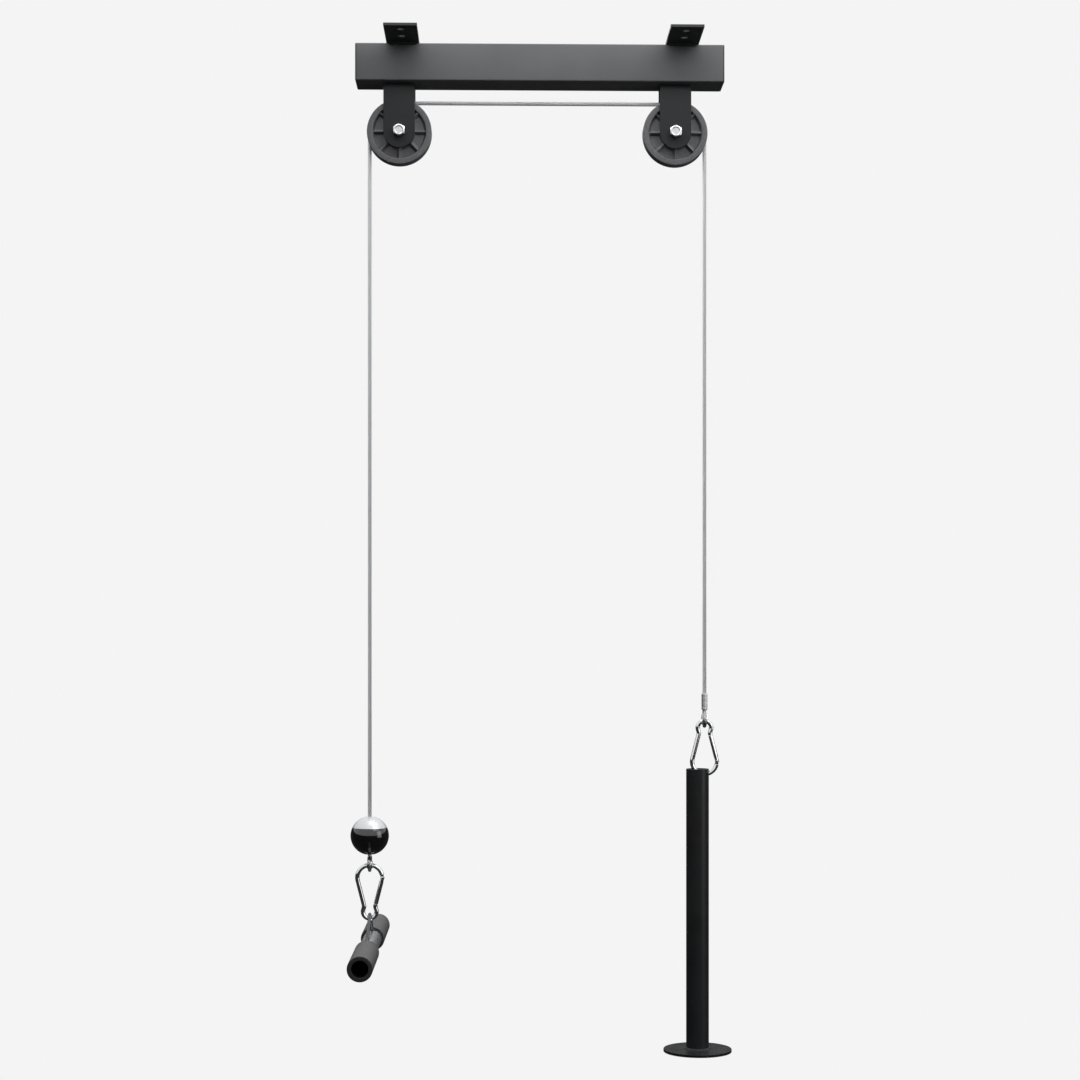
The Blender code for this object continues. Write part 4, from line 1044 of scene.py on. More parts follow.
def raw_steel():
    """Bare drawn steel inside the handle: dull and nearly black where no light reaches."""
    material, tree, shader = surface("Drawn steel", linear("#3a3835"), 0.6, metallic=1.0)
    if tree:
        set_tint(tree, shader, lumps(tree, 4.0), linear("#2b2725"), linear("#45413d"))
    return material


def natural_nylon():
    """Uncoloured nylon of a lock nut's insert: milky and slightly glossy."""
    return patterned("Natural nylon", linear("#d8d5c8"), 0.4, relief=(0.01, 0.4))


# Beam, plates and yokes


def beam_mesh():
    """Square tube along X with lightly broken ends."""
    half = BEAM_LENGTH / 2 - CAP_FLANGE - GAP
    chip = BEAM_END_CHIP
    outer = rounded_square(BEAM_SECTION, BEAM_CORNER)
    worn = rounded_square(BEAM_SECTION - 2 * chip, BEAM_CORNER - chip)
    inner = rounded_square(BEAM_SECTION - 2 * BEAM_WALL, BEAM_CORNER / 2)
    order = ((worn, -half), (outer, chip - half), (outer, half - chip), (worn, half),
             (inner, half), (inner, -half))
    rings = [[(x, y, z) for y, z in outline] for outline, x in order]
    return flat_shaded(ring_mesh("beam", rings, closed=True))


def end_cap_mesh(sign):
    """Moulded cap with a softly crowned face, a flange and a hollow plug."""
    plug_size = BEAM_SECTION - 2 * BEAM_WALL - 2 * GAP
    plug_end = CAP_FLANGE + CAP_PLUG_DEPTH
    flange = rounded_square(BEAM_SECTION, BEAM_CORNER)
    plug = rounded_square(plug_size, BEAM_CORNER / 2)
    worn_plug = rounded_square(plug_size - CAP_PLUG_LEAD, BEAM_CORNER / 2)
    pocket = rounded_square(plug_size - 2 * CAP_PLUG_WALL, BEAM_CORNER / 2)
    order = [(rounded_square(size * MM, BEAM_CORNER), depth * MM) for size, depth in CAP_CROWN]
    order += [(flange, CAP_EDGE), (flange, CAP_FLANGE)]
    order += [(plug, CAP_FLANGE), (plug, plug_end - CAP_PLUG_LEAD), (worn_plug, plug_end)]
    order += [(pocket, plug_end), (pocket, CAP_FLANGE)]
    rings = [[(-sign * depth, y, z) for y, z in outline] for outline, depth in order]
    return flat_shaded(ring_mesh("end_cap", rings))


def build_beam(settings):
    """The beam and its two end caps."""
    # The beam's lighter coat is partly painted light, for the light that its front catches
    coat = powder_coat("Beam powder coat with painted light", settings.beam)
    cap = cap_plastic(settings.cap)
    middle_z = (BEAM_LOW.z + BEAM_HIGH.z) / 2
    add_piece("beam", beam_mesh(), (0, 0, middle_z), "frame", [coat], ["beam_tube"])
    for side, sign in SIDES.items():
        place = (sign * BEAM_LENGTH / 2, 0, middle_z)
        add_piece("end_cap_" + side, end_cap_mesh(sign), place, "frame", [cap],
                  ["beam_end_cap_" + side])


def ceiling_plate_mesh(edge):
    """Flat plate with four anchor holes, all its edges broken."""
    half = PLATE_THICKNESS / 2
    mesh = block("ceiling_plate", PLATE_WIDTH / 2, PLATE_LENGTH / 2, -half, half)
    for reach in ANCHOR_HOLE_Y:
        for sign in (-1, 1):
            hole = drill(ANCHOR_HOLE_RADIUS, -half - OVERRUN, half + OVERRUN)
            mesh = carved(mesh, moved(hole, Matrix.Translation((0, sign * reach, 0))))
    return bevelled(mesh, edge)


def build_ceiling_plates(settings):
    """Both ceiling plates, with the beads that weld them to the beam."""
    coat = powder_coat("Black powder coat", settings.coat)
    mesh = ceiling_plate_mesh(settings.edge)
    leg = settings.bead + 1.0 * MM
    reach = BEAM_SECTION / 2 - 1.0 * MM
    for side in SIDES:
        low, high = PLATE_BOX[side]
        x = (low.x + high.x) / 2
        place = (x, 0, (low.z + high.z) / 2)
        add_piece("plate_" + side, mesh, place, "frame", [coat], ["ceiling_plate_" + side])
        ends = (low.x - x + BEAD_INSET, high.x - x - BEAD_INSET)
        beads = [hanging_bead(*ends, sign * reach, low.z, sign, leg) for sign in (-1, 1)]
        welds = joined("plate_welds", beads)
        add_piece("plate_welds_" + side, welds, (x, 0, 0), "frame", [coat])


def yoke_mesh(edge):
    """Upright plate with a round lower end and a hole for the axle."""
    half = YOKE_WIDTH / 2
    outline = [(half, YOKE_TOP), (-half, YOKE_TOP)]
    outline += arc((0, -YOKE_END_DROP), half, math.pi, math.tau, ROUND_STEPS // 2)
    hole = drill(AXLE_RADIUS + GAP, -YOKE_THICKNESS, YOKE_THICKNESS, axis="Y")
    return bevelled(carved(extruded("yoke", outline, YOKE_THICKNESS), hole), edge)


def build_yokes(settings):
    """Both yokes: a front and a rear plate each, welded under the beam."""
    coat = powder_coat("Black powder coat", settings.coat)
    mesh = yoke_mesh(settings.edge)
    reach = YOKE_WIDTH / 2 - BEAD_INSET
    for side in SIDES:
        x = PULLEY_X[side]
        for row, sign in ROWS.items():
            place = (x, sign * (YOKE_INNER + YOKE_THICKNESS / 2), AXLE_Z)
            add_piece(f"yoke_{side}_{row}", mesh, place, "frame", [coat],
                      [f"yoke_plate_{side}_{row}"])
        beads = []
        for sign in (-1, 1):
            outer_y, inner_y = sign * (YOKE_INNER + YOKE_THICKNESS), sign * YOKE_INNER
            beads.append(hanging_bead(-reach, reach, outer_y, BEAM_LOW.z, sign, settings.bead))
            inner_leg = INNER_BEAD_SHARE * settings.bead
            beads.append(hanging_bead(-reach, reach, inner_y, BEAM_LOW.z, -sign, inner_leg))
        welds = joined("yoke_welds", beads)
        add_piece("yoke_welds_" + side, welds, (x, 0, 0), "frame", [coat])


# Sheaves


def sheave_half_profile():
    """One side of the sheave from its hub's face to the groove's bottom, as (radius, side) points."""
    corners = [(SEAT_RADIUS, SHEAVE_FACE), (HUB_RADIUS, SHEAVE_FACE, HUB_EDGE),
               (HUB_RADIUS + WALL_DRAFT, WEB_FACE, HUB_FILLET),
               (RIM_INNER - WALL_DRAFT, WEB_FACE, RIM_FILLET),
               (RIM_INNER, SHEAVE_FACE, RIM_INNER_EDGE), (SHEAVE_RADIUS, SHEAVE_FACE, RIM_OUTER_EDGE),
               (SHEAVE_RADIUS, SHEAVE_FACE - SHEAVE_LIP, LIP_EDGE), (WRAP_RADIUS, GROOVE_RADIUS)]
    groove = arc((WRAP_RADIUS, 0), GROOVE_RADIUS, math.pi / 2, math.pi, GROOVE_STEPS)
    return rounded(corners)[1:-1] + groove


def rib_height(offset):
    """How high a rib stands at a distance from its middle line."""
    for (a, low), (b, high) in zip(RIB_SECTION, RIB_SECTION[1:]):
        if offset <= b * MM:
            share = (offset / MM - a) / (b - a)
            return (low + (high - low) * share) * MM
    return 0.0


def sheave_ring(radius, side):
    """One ring of the sheave. Its points follow the ribs' sides, and rise onto the ribs."""
    ribbed = HUB_RADIUS - GAP < radius < RIM_INNER + GAP
    offsets = [d * MM for d, _ in RIB_SECTION]
    offsets = [-d for d in offsets[:0:-1]] + offsets
    edge = math.asin(offsets[-1] / radius)
    space = math.tau / RIB_COUNT - 2 * edge
    points = []
    for i in range(RIB_COUNT):
        middle = math.tau * i / RIB_COUNT
        for offset in offsets:
            height = rib_height(abs(offset)) if ribbed else 0.0
            y = math.copysign(max(abs(side), height), side)
            points.append((radius, middle + math.asin(offset / radius), y))
        for k in range(1, RIB_SPACES + 1):
            points.append((radius, middle + edge + space * k / (RIB_SPACES + 1), side))
    return [(r * math.cos(a), y, r * math.sin(a)) for r, a, y in points]


def sheave_mesh():
    """Grooved wheel with a recessed, ribbed web on both sides and a seat for its bearing."""
    half = sheave_half_profile()
    edge = SEAT_EDGE
    profile = [(SEAT_RADIUS, edge - SHEAVE_FACE), (SEAT_RADIUS + edge, -SHEAVE_FACE)]
    profile += [(r, -y) for r, y in half] + half[-2::-1]
    profile += [(SHOULDER_RADIUS + edge, SHEAVE_FACE), (SHOULDER_RADIUS, SHEAVE_FACE - edge)]
    profile += [(SHOULDER_RADIUS, SHOULDER_Y), (SEAT_RADIUS, SHOULDER_Y)]
    return ring_mesh("sheave", [sheave_ring(r, y) for r, y in profile], closed=True)


def build_sheaves(settings):
    """Both sheaves."""
    nylon = glass_nylon(settings.nylon)
    mesh = sheave_mesh()
    for side in SIDES:
        place = (PULLEY_X[side], 0, AXLE_Z)
        add_piece("wheel_" + side, mesh, place, side + "_sheave", [nylon], ["sheave_" + side])


# Bearings


def race_mesh(name, plain, land, sign):
    """Bearing ring with broken edges and a round groove for the balls, outside or inside them."""
    edge = RING_EDGE
    step = sign * edge
    half = BEARING_HALF
    track = BALL_RADIUS + TRACK_PLAY
    reach = abs(land - BALL_PITCH)
    start = math.atan2(-math.sqrt(track**2 - reach**2), reach)
    groove = [(BALL_PITCH + sign * out, y) for out, y in arc((0, 0), track, start, -start, TRACK_STEPS)]
    profile = [(plain, edge - half), (plain - step, -half), (land + step, -half), (land, edge - half)]
    profile += groove + [(land, half - edge), (land + step, half), (plain - step, half), (plain, half - edge)]
    return turned(name, profile, axis="Y")


def cage_mesh():
    """Cage ring with its balls."""
    half = CAGE_WIDTH / 2
    inner, outer = BALL_PITCH - CAGE_HALF, BALL_PITCH + CAGE_HALF
    ring = [(inner, -half, CAGE_EDGE), (outer, -half, CAGE_EDGE), (outer, half, CAGE_EDGE),
            (inner, half, CAGE_EDGE)]
    meshes = [turned("ring", rounded(ring, 2), axis="Y")]
    pole = math.pi / 2 - BALL_POLE
    for i in range(BALL_COUNT):
        angle = math.tau * (i + 0.5) / BALL_COUNT
        spot = (BALL_PITCH * math.cos(angle), 0, BALL_PITCH * math.sin(angle))
        half_circle = arc((0, 0), BALL_RADIUS, -pole, pole, BALL_STEPS // 2)
        ball = turned("ball", half_circle, BALL_STEPS, closed=False)
        meshes.append(moved(ball, Matrix.Translation(spot)))
    return joined("cage", meshes)


def build_bearings():
    """Both ball bearings: outer ring, inner ring and caged balls."""
    steel = bearing_steel()
    outer_land = BEARING_RADIUS - RACE_WALL
    outer = race_mesh("outer_ring", BEARING_RADIUS, outer_land, 1)
    inner = race_mesh("inner_ring", AXLE_RADIUS + GAP, 2 * BALL_PITCH - outer_land, -1)
    cage = cage_mesh()
    for side in SIDES:
        place = (PULLEY_X[side], 0, AXLE_Z)
        rows = (("race_outer_", outer, side + "_sheave", "bearing_outer_ring_"),
                ("race_inner_", inner, "frame", "bearing_inner_ring_"),
                ("caged_balls_", cage, side + "_ball_cage", "bearing_ball_cage_"))
        for name, mesh, body, node in rows:
            add_piece(name + side, mesh, place, body, [steel], [node + side])


# Axle bolts, washers, nuts and spacers


def hex_reach(angle, flats):
    """Distance from a hexagon's middle to its side, with a corner at the top."""
    within = (angle + math.pi / 6) % (math.pi / 3) - math.pi / 6
    return flats / 2 / math.cos(within)


def hex_ring(flats, chamfer_radius, y, toward, shrink=0.0):
    """Ring on a hexagon's sides. It dips at the corners, as a cone cut from a face leaves it."""
    points = []
    for i in range(HEX_STEPS):
        angle = math.tau * i / HEX_STEPS
        reach = hex_reach(angle, flats)
        dip = (reach - chamfer_radius) * CHAMFER_SLOPE * toward
        reach -= shrink
        points.append((reach * math.cos(angle), y + dip, reach * math.sin(angle)))
    return points


def round_ring(radius, y):
    """Plain ring about the Y axis."""
    return [(x, y, z) for x, z in circle(radius, HEX_STEPS)]


def thread_ring(y, pitch):
    """Ring across a right-hand thread, which fades into the bolt's chamfered end."""
    points = []
    limit = AXLE_RADIUS - THREAD_DEPTH + (BOLT_END - y)
    for i in range(HEX_STEPS):
        phase = (y / pitch - i / HEX_STEPS) % 1.0
        cut = min(1.0, max(0.0, THREAD_ROOT - abs(2 * phase - 1) * THREAD_FLANK))
        started = min(1.0, (y - THREAD_START) / pitch)
        radius = min(limit, AXLE_RADIUS - THREAD_DEPTH * cut * started)
        angle = math.tau * i / HEX_STEPS
        points.append((radius * math.cos(angle), y, radius * math.sin(angle)))
    return points


def bolt_mesh(pitch):
    """Hexagon bolt with a dished, chamfered head, a plain shank and a threaded end."""
    top = BOLT_HEAD_FACE - BOLT_HEAD_HEIGHT
    worn = BOLT_WORN_EDGE
    rings = [round_ring(r * MM, top + depth * MM) for r, depth in BOLT_DISH]
    rings.append(hex_ring(BOLT_HEAD_FLATS, BOLT_TOP_RADIUS, top, 1.0))
    rings.append(hex_ring(BOLT_HEAD_FLATS, BOLT_TOP_RADIUS, BOLT_HEAD_FACE - worn, 0.0))
    rings.append(hex_ring(BOLT_HEAD_FLATS, BOLT_TOP_RADIUS, BOLT_HEAD_FACE, 0.0, worn))
    rings.append(round_ring(AXLE_RADIUS, BOLT_HEAD_FACE))
    rings.append(round_ring(AXLE_RADIUS, THREAD_START))
    count = round((BOLT_END - THREAD_START) / THREAD_RING_STEP)
    rings += [thread_ring(THREAD_START + THREAD_RING_STEP * (i + 1), pitch) for i in range(count)]
    return flat_shaded(ring_mesh("bolt", rings))


def nut_mesh():
    """Lock nut: a chamfered hexagon with a round collar that holds a nylon insert."""
    bore = AXLE_RADIUS + GAP
    rings = [round_ring(bore, NUT_LEAD), round_ring(bore + NUT_LEAD, 0.0),
             round_ring(NUT_FACE_RADIUS, 0.0)]
    rings.append(hex_ring(NUT_FLATS, NUT_FACE_RADIUS, 0.0, 1.0))
    rings.append(hex_ring(NUT_FLATS, NUT_FACE_RADIUS, NUT_HEX_HEIGHT, -1.0))
    rings += [round_ring(r * MM, y * MM) for r, y in NUT_COLLAR]
    slots = [0] * len(rings) + [1] * len(NUT_INSERT) + [0]
    rings += [round_ring(r * MM, y * MM) for r, y in NUT_INSERT]
    rings.append(round_ring(bore, NUT_HEX_HEIGHT))
    return flat_shaded(ring_mesh("lock_nut", rings, closed=True, slots=slots))


def ring_part_mesh(name, inner, outer, length, edge):
    """Washer or spacer from its front face, with broken edges."""
    corners = [(inner, 0.0), (outer, 0.0, edge), (outer, length, edge), (inner, length)]
    return turned(name, rounded(corners, 3), SMALL_STEPS * 2, axis="Y")


def build_axles(settings):
    """Both axles: bolt, two spacers, washer and lock nut."""
    zinc = zinc_plate(settings.zinc)
    bore = AXLE_RADIUS + GAP
    bolt = bolt_mesh(settings.pitch)
    nut = nut_mesh()
    washer = ring_part_mesh("washer", bore, WASHER_RADIUS, WASHER_THICKNESS, WASHER_EDGE)
    spacer = ring_part_mesh("spacer", bore, bore + SPACER_WALL, SPACER_LENGTH, SPACER_EDGE)
    for side in SIDES:
        x = PULLEY_X[side]
        rows = [("bolt_" + side, bolt, 0.0, "axle_bolt_" + side),
                ("washer_" + side, washer, WASHER_FACE, "axle_washer_" + side),
                ("lock_nut_" + side, nut, NUT_FACE, "axle_lock_nut_" + side)]
        for row in ROWS:
            node = f"axle_spacer_{side}_{row}"
            rows.append((f"spacer_{side}_{row}", spacer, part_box(node)[0].y, node))
        for name, mesh, y, node in rows:
            materials = [zinc, natural_nylon()] if mesh is nut else [zinc]
            add_piece(name, mesh, (x, y, AXLE_Z), "frame", materials, [node])


# Cable


def rope_section(radius, twist):
    """Section of six strands that touch, turned by a twist."""
    strand = radius / 3
    pitch = radius - strand
    points = []
    for i in range(STRANDS * STRAND_STEPS):
        beta = ((i % STRAND_STEPS) / STRAND_STEPS - 0.5) * math.tau / STRANDS
        inner = max(0.0, strand**2 - (pitch * math.sin(beta)) ** 2)
        reach = pitch * math.cos(beta) + math.sqrt(inner)
        angle = math.tau * i / (STRANDS * STRAND_STEPS) + twist
        points.append((reach * math.cos(angle), reach * math.sin(angle)))
    return points


def rope_mesh(name, path, plane, start, radius, lay):
    """Wire rope along a path in a plane. Its strands turn with the distance from the cable's start."""
    points = evenly(path, ROPE_STEP)
    along = [start]
    for a, b in zip(points, points[1:]):
        along.append(along[-1] + math.dist(a, b))
    sections = [rope_section(radius, math.tau * s / lay) for s in along]
    return ring_mesh(name, plane(sweep(points, sections)), along=along)


def build_run(side, start, material, lay):
    """One upright run, in three overlapping pieces sized by the joint's travel."""
    low, high = RUN_BOX[side]
    x = CABLE_X[side]
    length = high.z - low.z
    joint = JOINTS["handle_pull" if side == "left" else "post_lift"]
    travel = max(abs(limit) for limit in joint["range_m"] if (limit < 0) == (side == "left"))
    share = END_PIECE_SHARE * travel
    reach = END_BLEND_SHARE * travel
    inset = MIDDLE_START_SHARE * travel
    spread = MIDDLE_BLEND_SHARE * travel
    rows = (("top", 0.0, share, 0.0, reach, 0.0),
            ("middle", inset, length - inset, length / 2 - spread, length / 2 + spread, INNER_RUN_SHRINK),
            ("foot", length - share, length, length - reach, length, 0.0))
    for name, first, last, blend_start, blend_end, shrink in rows:
        ends = [(x, high.z - first), (x, high.z - last)]
        place = first
        if side == "left":
            ends.reverse()
            place = -last
        mesh = rope_mesh("rope", ends, in_xz, start + place, ROPE_CREST - shrink, lay)
        piece = add_piece(f"cable_{side}_{name}", mesh, (0, 0, 0), None, [material],
                          ["cable_run_" + side])
        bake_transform(piece)


def build_cable(settings):
    """The cable over both pulleys, and its two upright runs."""
    rope = wire_rope("Galvanised wire rope", settings.wire, settings.lay, roughness=0.5)
    path = arc((PULLEY_X["left"], AXLE_Z), WRAP_RADIUS, math.pi, math.pi / 2, WRAP_STEPS)
    path += arc((PULLEY_X["right"], AXLE_Z), WRAP_RADIUS, math.pi / 2, 0, WRAP_STEPS)
    over = rope_mesh("rope", path, in_xz, 0.0, ROPE_CREST, settings.lay)
    add_piece("cable_over", over, (0, 0, 0), "frame", [rope], ["cable_over_pulleys"])
    length = math.pi * WRAP_RADIUS + PULLEY_X["right"] - PULLEY_X["left"]
    build_run("left", 0.0, rope, settings.lay)
    build_run("right", length, rope, settings.lay)


# Stopper ball, sleeves and end loops


def sleeve_rings(half_x, half_y, length, cable_depth, strand_depth, outside):
    """Rings of a sleeve with a round bore above and a double bore below, round given outside rings."""
    bore = CABLE_RADIUS + GAP
    lead = SLEEVE_LEAD
    rings = [(bore, bore + STRAND_PITCH / 2, strand_depth), (bore, bore + STRAND_PITCH / 2, lead),
             (bore + lead, bore + lead + STRAND_PITCH / 2, 0.0)]
    rings += [(half_x - inset, half_y - inset, z) for inset, z in outside]
    rings += [(bore + lead, bore + lead, length), (bore, bore, length - lead),
              (bore, bore, length - cable_depth)]
    return [[(x, y, z) for x, y in obround(hx, hy)] for hx, hy, z in rings]


def ball_body_mesh(seam):
    """Ball's body with a fine seam round it and a bore for the crimp sleeve."""
    bore = SLEEVE_RADIUS + GAP
    rim = CAP_RIM - GAP
    start = math.asin(rim / BALL_STOP_RADIUS)
    end = -math.acos(FOOT_RADIUS / BALL_STOP_RADIUS)
    seam_angle = math.asin(SEAM_Z / BALL_STOP_RADIUS)
    width = seam / BALL_STOP_RADIUS
    foot = FOOT_RADIUS - FOOT_EDGE
    foot_z = BALL_STOP_RADIUS * math.sin(end)
    seat = SLEEVE_TOP - SLEEVE_LENGTH - GAP
    profile = [(bore, rim)]
    profile += arc((0, 0), BALL_STOP_RADIUS, start, seam_angle + width / 2, UPPER_STEPS)
    # The seam's floor is a third as wide as its mouth
    half_floor = width / 6
    profile += arc((0, 0), BALL_STOP_RADIUS - SEAM_DEPTH, seam_angle + half_floor,
                   seam_angle - half_floor, 1)
    profile += arc((0, 0), BALL_STOP_RADIUS, seam_angle - width / 2, end, LOWER_STEPS)
    profile += [(foot, foot_z + FOOT_EDGE), (foot, seat), (bore, seat)]
    return turned("ball_body", profile, ROUND_STEPS)


def ball_cap_mesh():
    """Ball's cap with a shallow dish where the cable enters."""
    bore = SLEEVE_RADIUS + GAP
    hole = CABLE_RADIUS + GAP
    start = math.asin(CAP_RIM / BALL_STOP_RADIUS)
    end = math.acos(CAP_MOUTH_RADIUS / BALL_STOP_RADIUS)
    mouth_z = BALL_STOP_RADIUS * math.sin(end) - (CAP_MOUTH_RADIUS - hole)
    ceiling = SLEEVE_TOP + GAP
    profile = [(bore, CAP_RIM)] + arc((0, 0), BALL_STOP_RADIUS, start, end, UPPER_STEPS)
    profile += [(hole + out * MM, mouth_z + up * MM) for out, up in CAP_MOUTH_EDGE]
    profile += [(hole, ceiling), (bore, ceiling)]
    return turned("ball_cap", profile, ROUND_STEPS)


def build_stopper_ball(ball, cable):
    """The stopper ball, its cap and the crimp sleeve inside them."""
    place = (CABLE_X["left"], 0, BALL_STOP_Z)
    body = gloss_plastic(ball.body)
    add_piece("ball_body", ball_body_mesh(ball.seam), place, "handle_line", [body],
              ["stopper_ball_body"])
    cap = satin_silver(ball.cap)
    add_piece("ball_cap", ball_cap_mesh(), place, "handle_line", [cap], ["stopper_ball_cap"])
    edge = SLEEVE_EDGE
    outside = [(edge, 0.0), (0.0, edge), (0.0, SLEEVE_LENGTH - edge), (edge, SLEEVE_LENGTH)]
    rings = sleeve_rings(SLEEVE_RADIUS, SLEEVE_RADIUS, SLEEVE_LENGTH, SLEEVE_CABLE_DEPTH,
                         SLEEVE_STRAND_DEPTH, outside)
    place = (CABLE_X["left"], 0, BALL_STOP_Z + SLEEVE_TOP - SLEEVE_LENGTH)
    add_piece("crimp_sleeve", ring_mesh("crimp_sleeve", rings), place, "handle_line",
              [pressed_aluminium(cable.ferrule)], ["stopper_crimp_sleeve"])


def press_marks():
    """Insets and heights down the ferrule's outside, with the dents that the press jaws leave."""
    foot = [(inset * MM, z * MM) for inset, z in FERRULE_ROUND]
    start = foot[-1][1]
    outside = list(foot)
    for i in range(1, SMALL_STEPS):
        z = start + (FERRULE_LENGTH - 2 * start) * i / SMALL_STEPS
        wave = math.cos(math.tau * FERRULE_PRESS_COUNT * i / SMALL_STEPS)
        outside.append((max(0.0, -wave) * FERRULE_DENT, z))
    return outside + [(inset, FERRULE_LENGTH - z) for inset, z in reversed(foot)]


def build_ferrule(settings):
    """The pressed ferrule on the cable's right end."""
    rings = sleeve_rings(FERRULE_WIDTH / 2, FERRULE_DEPTH / 2, FERRULE_LENGTH, FERRULE_BORE_DEPTH,
                         FERRULE_BORE_DEPTH, press_marks())
    place = (CABLE_X["right"], 0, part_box("cable_ferrule_right")[0].z)
    add_piece("ferrule", ring_mesh("ferrule", rings), place, "post_line",
              [pressed_aluminium(settings.ferrule)], ["cable_ferrule_right"])


def loop_path(top):
    """Half of an end loop's middle line, from its strand's top down to the lowest point."""
    neck = Vector((STRAND_PITCH / 2, LOOP_NECK))
    shoulder = LOOP_RADIUS * Vector((math.cos(LOOP_OPENING), math.sin(LOOP_OPENING)))
    pull = (neck - shoulder).length
    lift = pull * Vector((-math.sin(LOOP_OPENING), math.cos(LOOP_OPENING)))
    drop = pull * Vector((0, -1))
    points = [(neck.x, top), (neck.x, LOOP_NECK)]
    # A smooth curve leads from the straight neck into the round part
    for i in range(1, LOOP_NECK_STEPS):
        t = i / LOOP_NECK_STEPS
        spread = (2 * t**3 - 3 * t**2 + 1) * neck + (t**3 - 2 * t**2 + t) * drop
        spread += (3 * t**2 - 2 * t**3) * shoulder - (t**3 - t**2) * lift
        points.append(tuple(spread))
    return points + arc((0, 0), LOOP_RADIUS, LOOP_OPENING, -math.pi / 2, LOOP_ARC_STEPS)


def mirrored(half):
    """A whole path from the half that ends on the middle line."""
    return half + [(-a, b) for a, b in half[-2::-1]]


def thimble_mesh(path):
    """Pressed channel that lines a loop."""
    start, end = math.pi - THIMBLE_WRAP, math.pi + THIMBLE_WRAP
    inside = arc((0, 0), THIMBLE_INNER, start, end, THIMBLE_STEPS)
    outside = arc((0, 0), THIMBLE_OUTER, end, start, THIMBLE_STEPS)
    return ring_mesh("thimble", in_yz(sweep(path, [inside + outside] * len(path))))


def shrink_mesh(path):
    """Thin sleeve shrunk round one strand."""
    outer = in_yz(sweep(path, [circle(SHRINK_RADIUS, WIRE_SIDES)] * len(path)))
    inner = in_yz(sweep(path, [circle(CABLE_RADIUS, WIRE_SIDES)] * len(path)))
    return ring_mesh("shrink", outer + inner[::-1], closed=True)


def build_end_loops(settings, zinc_colour):
    """Both end loops with their thimbles, and the sleeves on the left loop's strands."""
    # The loops' rope colour is darkened as painted shade, for the loops that hang round the hooks' rings
    worn = shaded(settings.wire, LOOP_PAINTED_SHADE)
    rope = wire_rope("Burnished wire rope with painted shade", worn, settings.lay, roughness=0.24)
    zinc = zinc_plate(zinc_colour)
    for side, body in (("left", "handle_line"), ("right", "post_line")):
        place = (CABLE_X[side], 0, LOOP_CENTRE[side])
        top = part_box("cable_end_loop_" + side)[1].z - LOOP_CENTRE[side]
        half = loop_path(top)
        mesh = rope_mesh("loop", mirrored(half), in_yz, 0.0, CABLE_RADIUS, settings.lay)
        add_piece("loop_" + side, mesh, place, body, [rope], ["cable_end_loop_" + side])
        lowest = SHRINK_BOTTOM - GAP if side == "left" else LOOP_NECK
        lined = [p for p in half if p[0] > THIMBLE_OUTER + GAP and p[1] < lowest]
        add_piece("loop_liner_" + side, thimble_mesh(mirrored(lined)), place, body, [zinc],
                  ["thimble_" + side])
    strand = evenly(loop_path(LOOP_NECK + 1.0 * MM), SHRINK_STEP)
    sleeved = [(y, z) for y, z in strand if SHRINK_BOTTOM < z < SHRINK_TOP]
    meshes = [shrink_mesh([(sign * y, z) for y, z in sleeved]) for sign in (-1, 1)]
    place = (CABLE_X["left"], 0, LOOP_CENTRE["left"])
    sleeves = joined("loop_sleeves", meshes)
    add_piece("loop_sleeves", sleeves, place, "handle_line", [shrink_sleeve()])


# Snap hooks


def hook_leg():
    """Where a hook's straight leg leaves the big arc, and its unit direction towards the neck."""
    neck = Vector(HOOK_NECK)
    bearing = math.atan2(neck.y, neck.x) - math.acos(HOOK_BIG_RADIUS / neck.length)
    start = HOOK_BIG_RADIUS * Vector((math.cos(bearing), math.sin(bearing)))
    return bearing, start, (neck - start).normalized()


def arc_steps(sweep_angle):
    """Steps that keep a hook's arc near its usual facet angle."""
    return max(4, round(abs(sweep_angle) / HOOK_ARC_STEP))


def hook_nose():
    """Middle of the hook's nose, a short way down its leg from the neck."""
    return Vector(HOOK_NECK) - hook_leg()[2] * HOOK_NOSE


def hook_path():
    """Middle line of a snap hook's body, from its gate's pivot round to its nose."""
    bearing, leg_start, _ = hook_leg()
    offset = Vector((HOOK_NECK[0], HOOK_NECK[1] - HOOK_CENTRES))
    ring_angle = math.atan2(offset.y, offset.x) + math.acos(HOOK_SMALL_RADIUS / offset.length)
    big_end = -math.pi - bearing
    big = arc((0, 0), HOOK_BIG_RADIUS, HOOK_END, big_end, arc_steps(HOOK_END - big_end))
    small = arc((0, HOOK_CENTRES), HOOK_SMALL_RADIUS, math.pi - ring_angle, ring_angle,
                arc_steps(math.pi - 2 * ring_angle))
    other_start, other_neck = (-leg_start.x, leg_start.y), (-HOOK_NECK[0], HOOK_NECK[1])
    left_bend = bend(other_start, other_neck, small[0], HOOK_NECK_BEND, HOOK_NECK_STEPS)
    right_bend = bend(small[-1], HOOK_NECK, tuple(leg_start), HOOK_NECK_BEND, HOOK_NECK_STEPS)
    return big + left_bend + small + right_bend + [tuple(hook_nose())]


def gate_frame():
    """The gate's pivot, its direction towards the nose and its length to the nose's gap."""
    _, leg_start, leg = hook_leg()
    pivot = leg_start + leg * ((GATE_PIVOT_REACH - leg_start.y) / leg.y)
    return pivot, leg, (hook_nose() - pivot).length - GAP


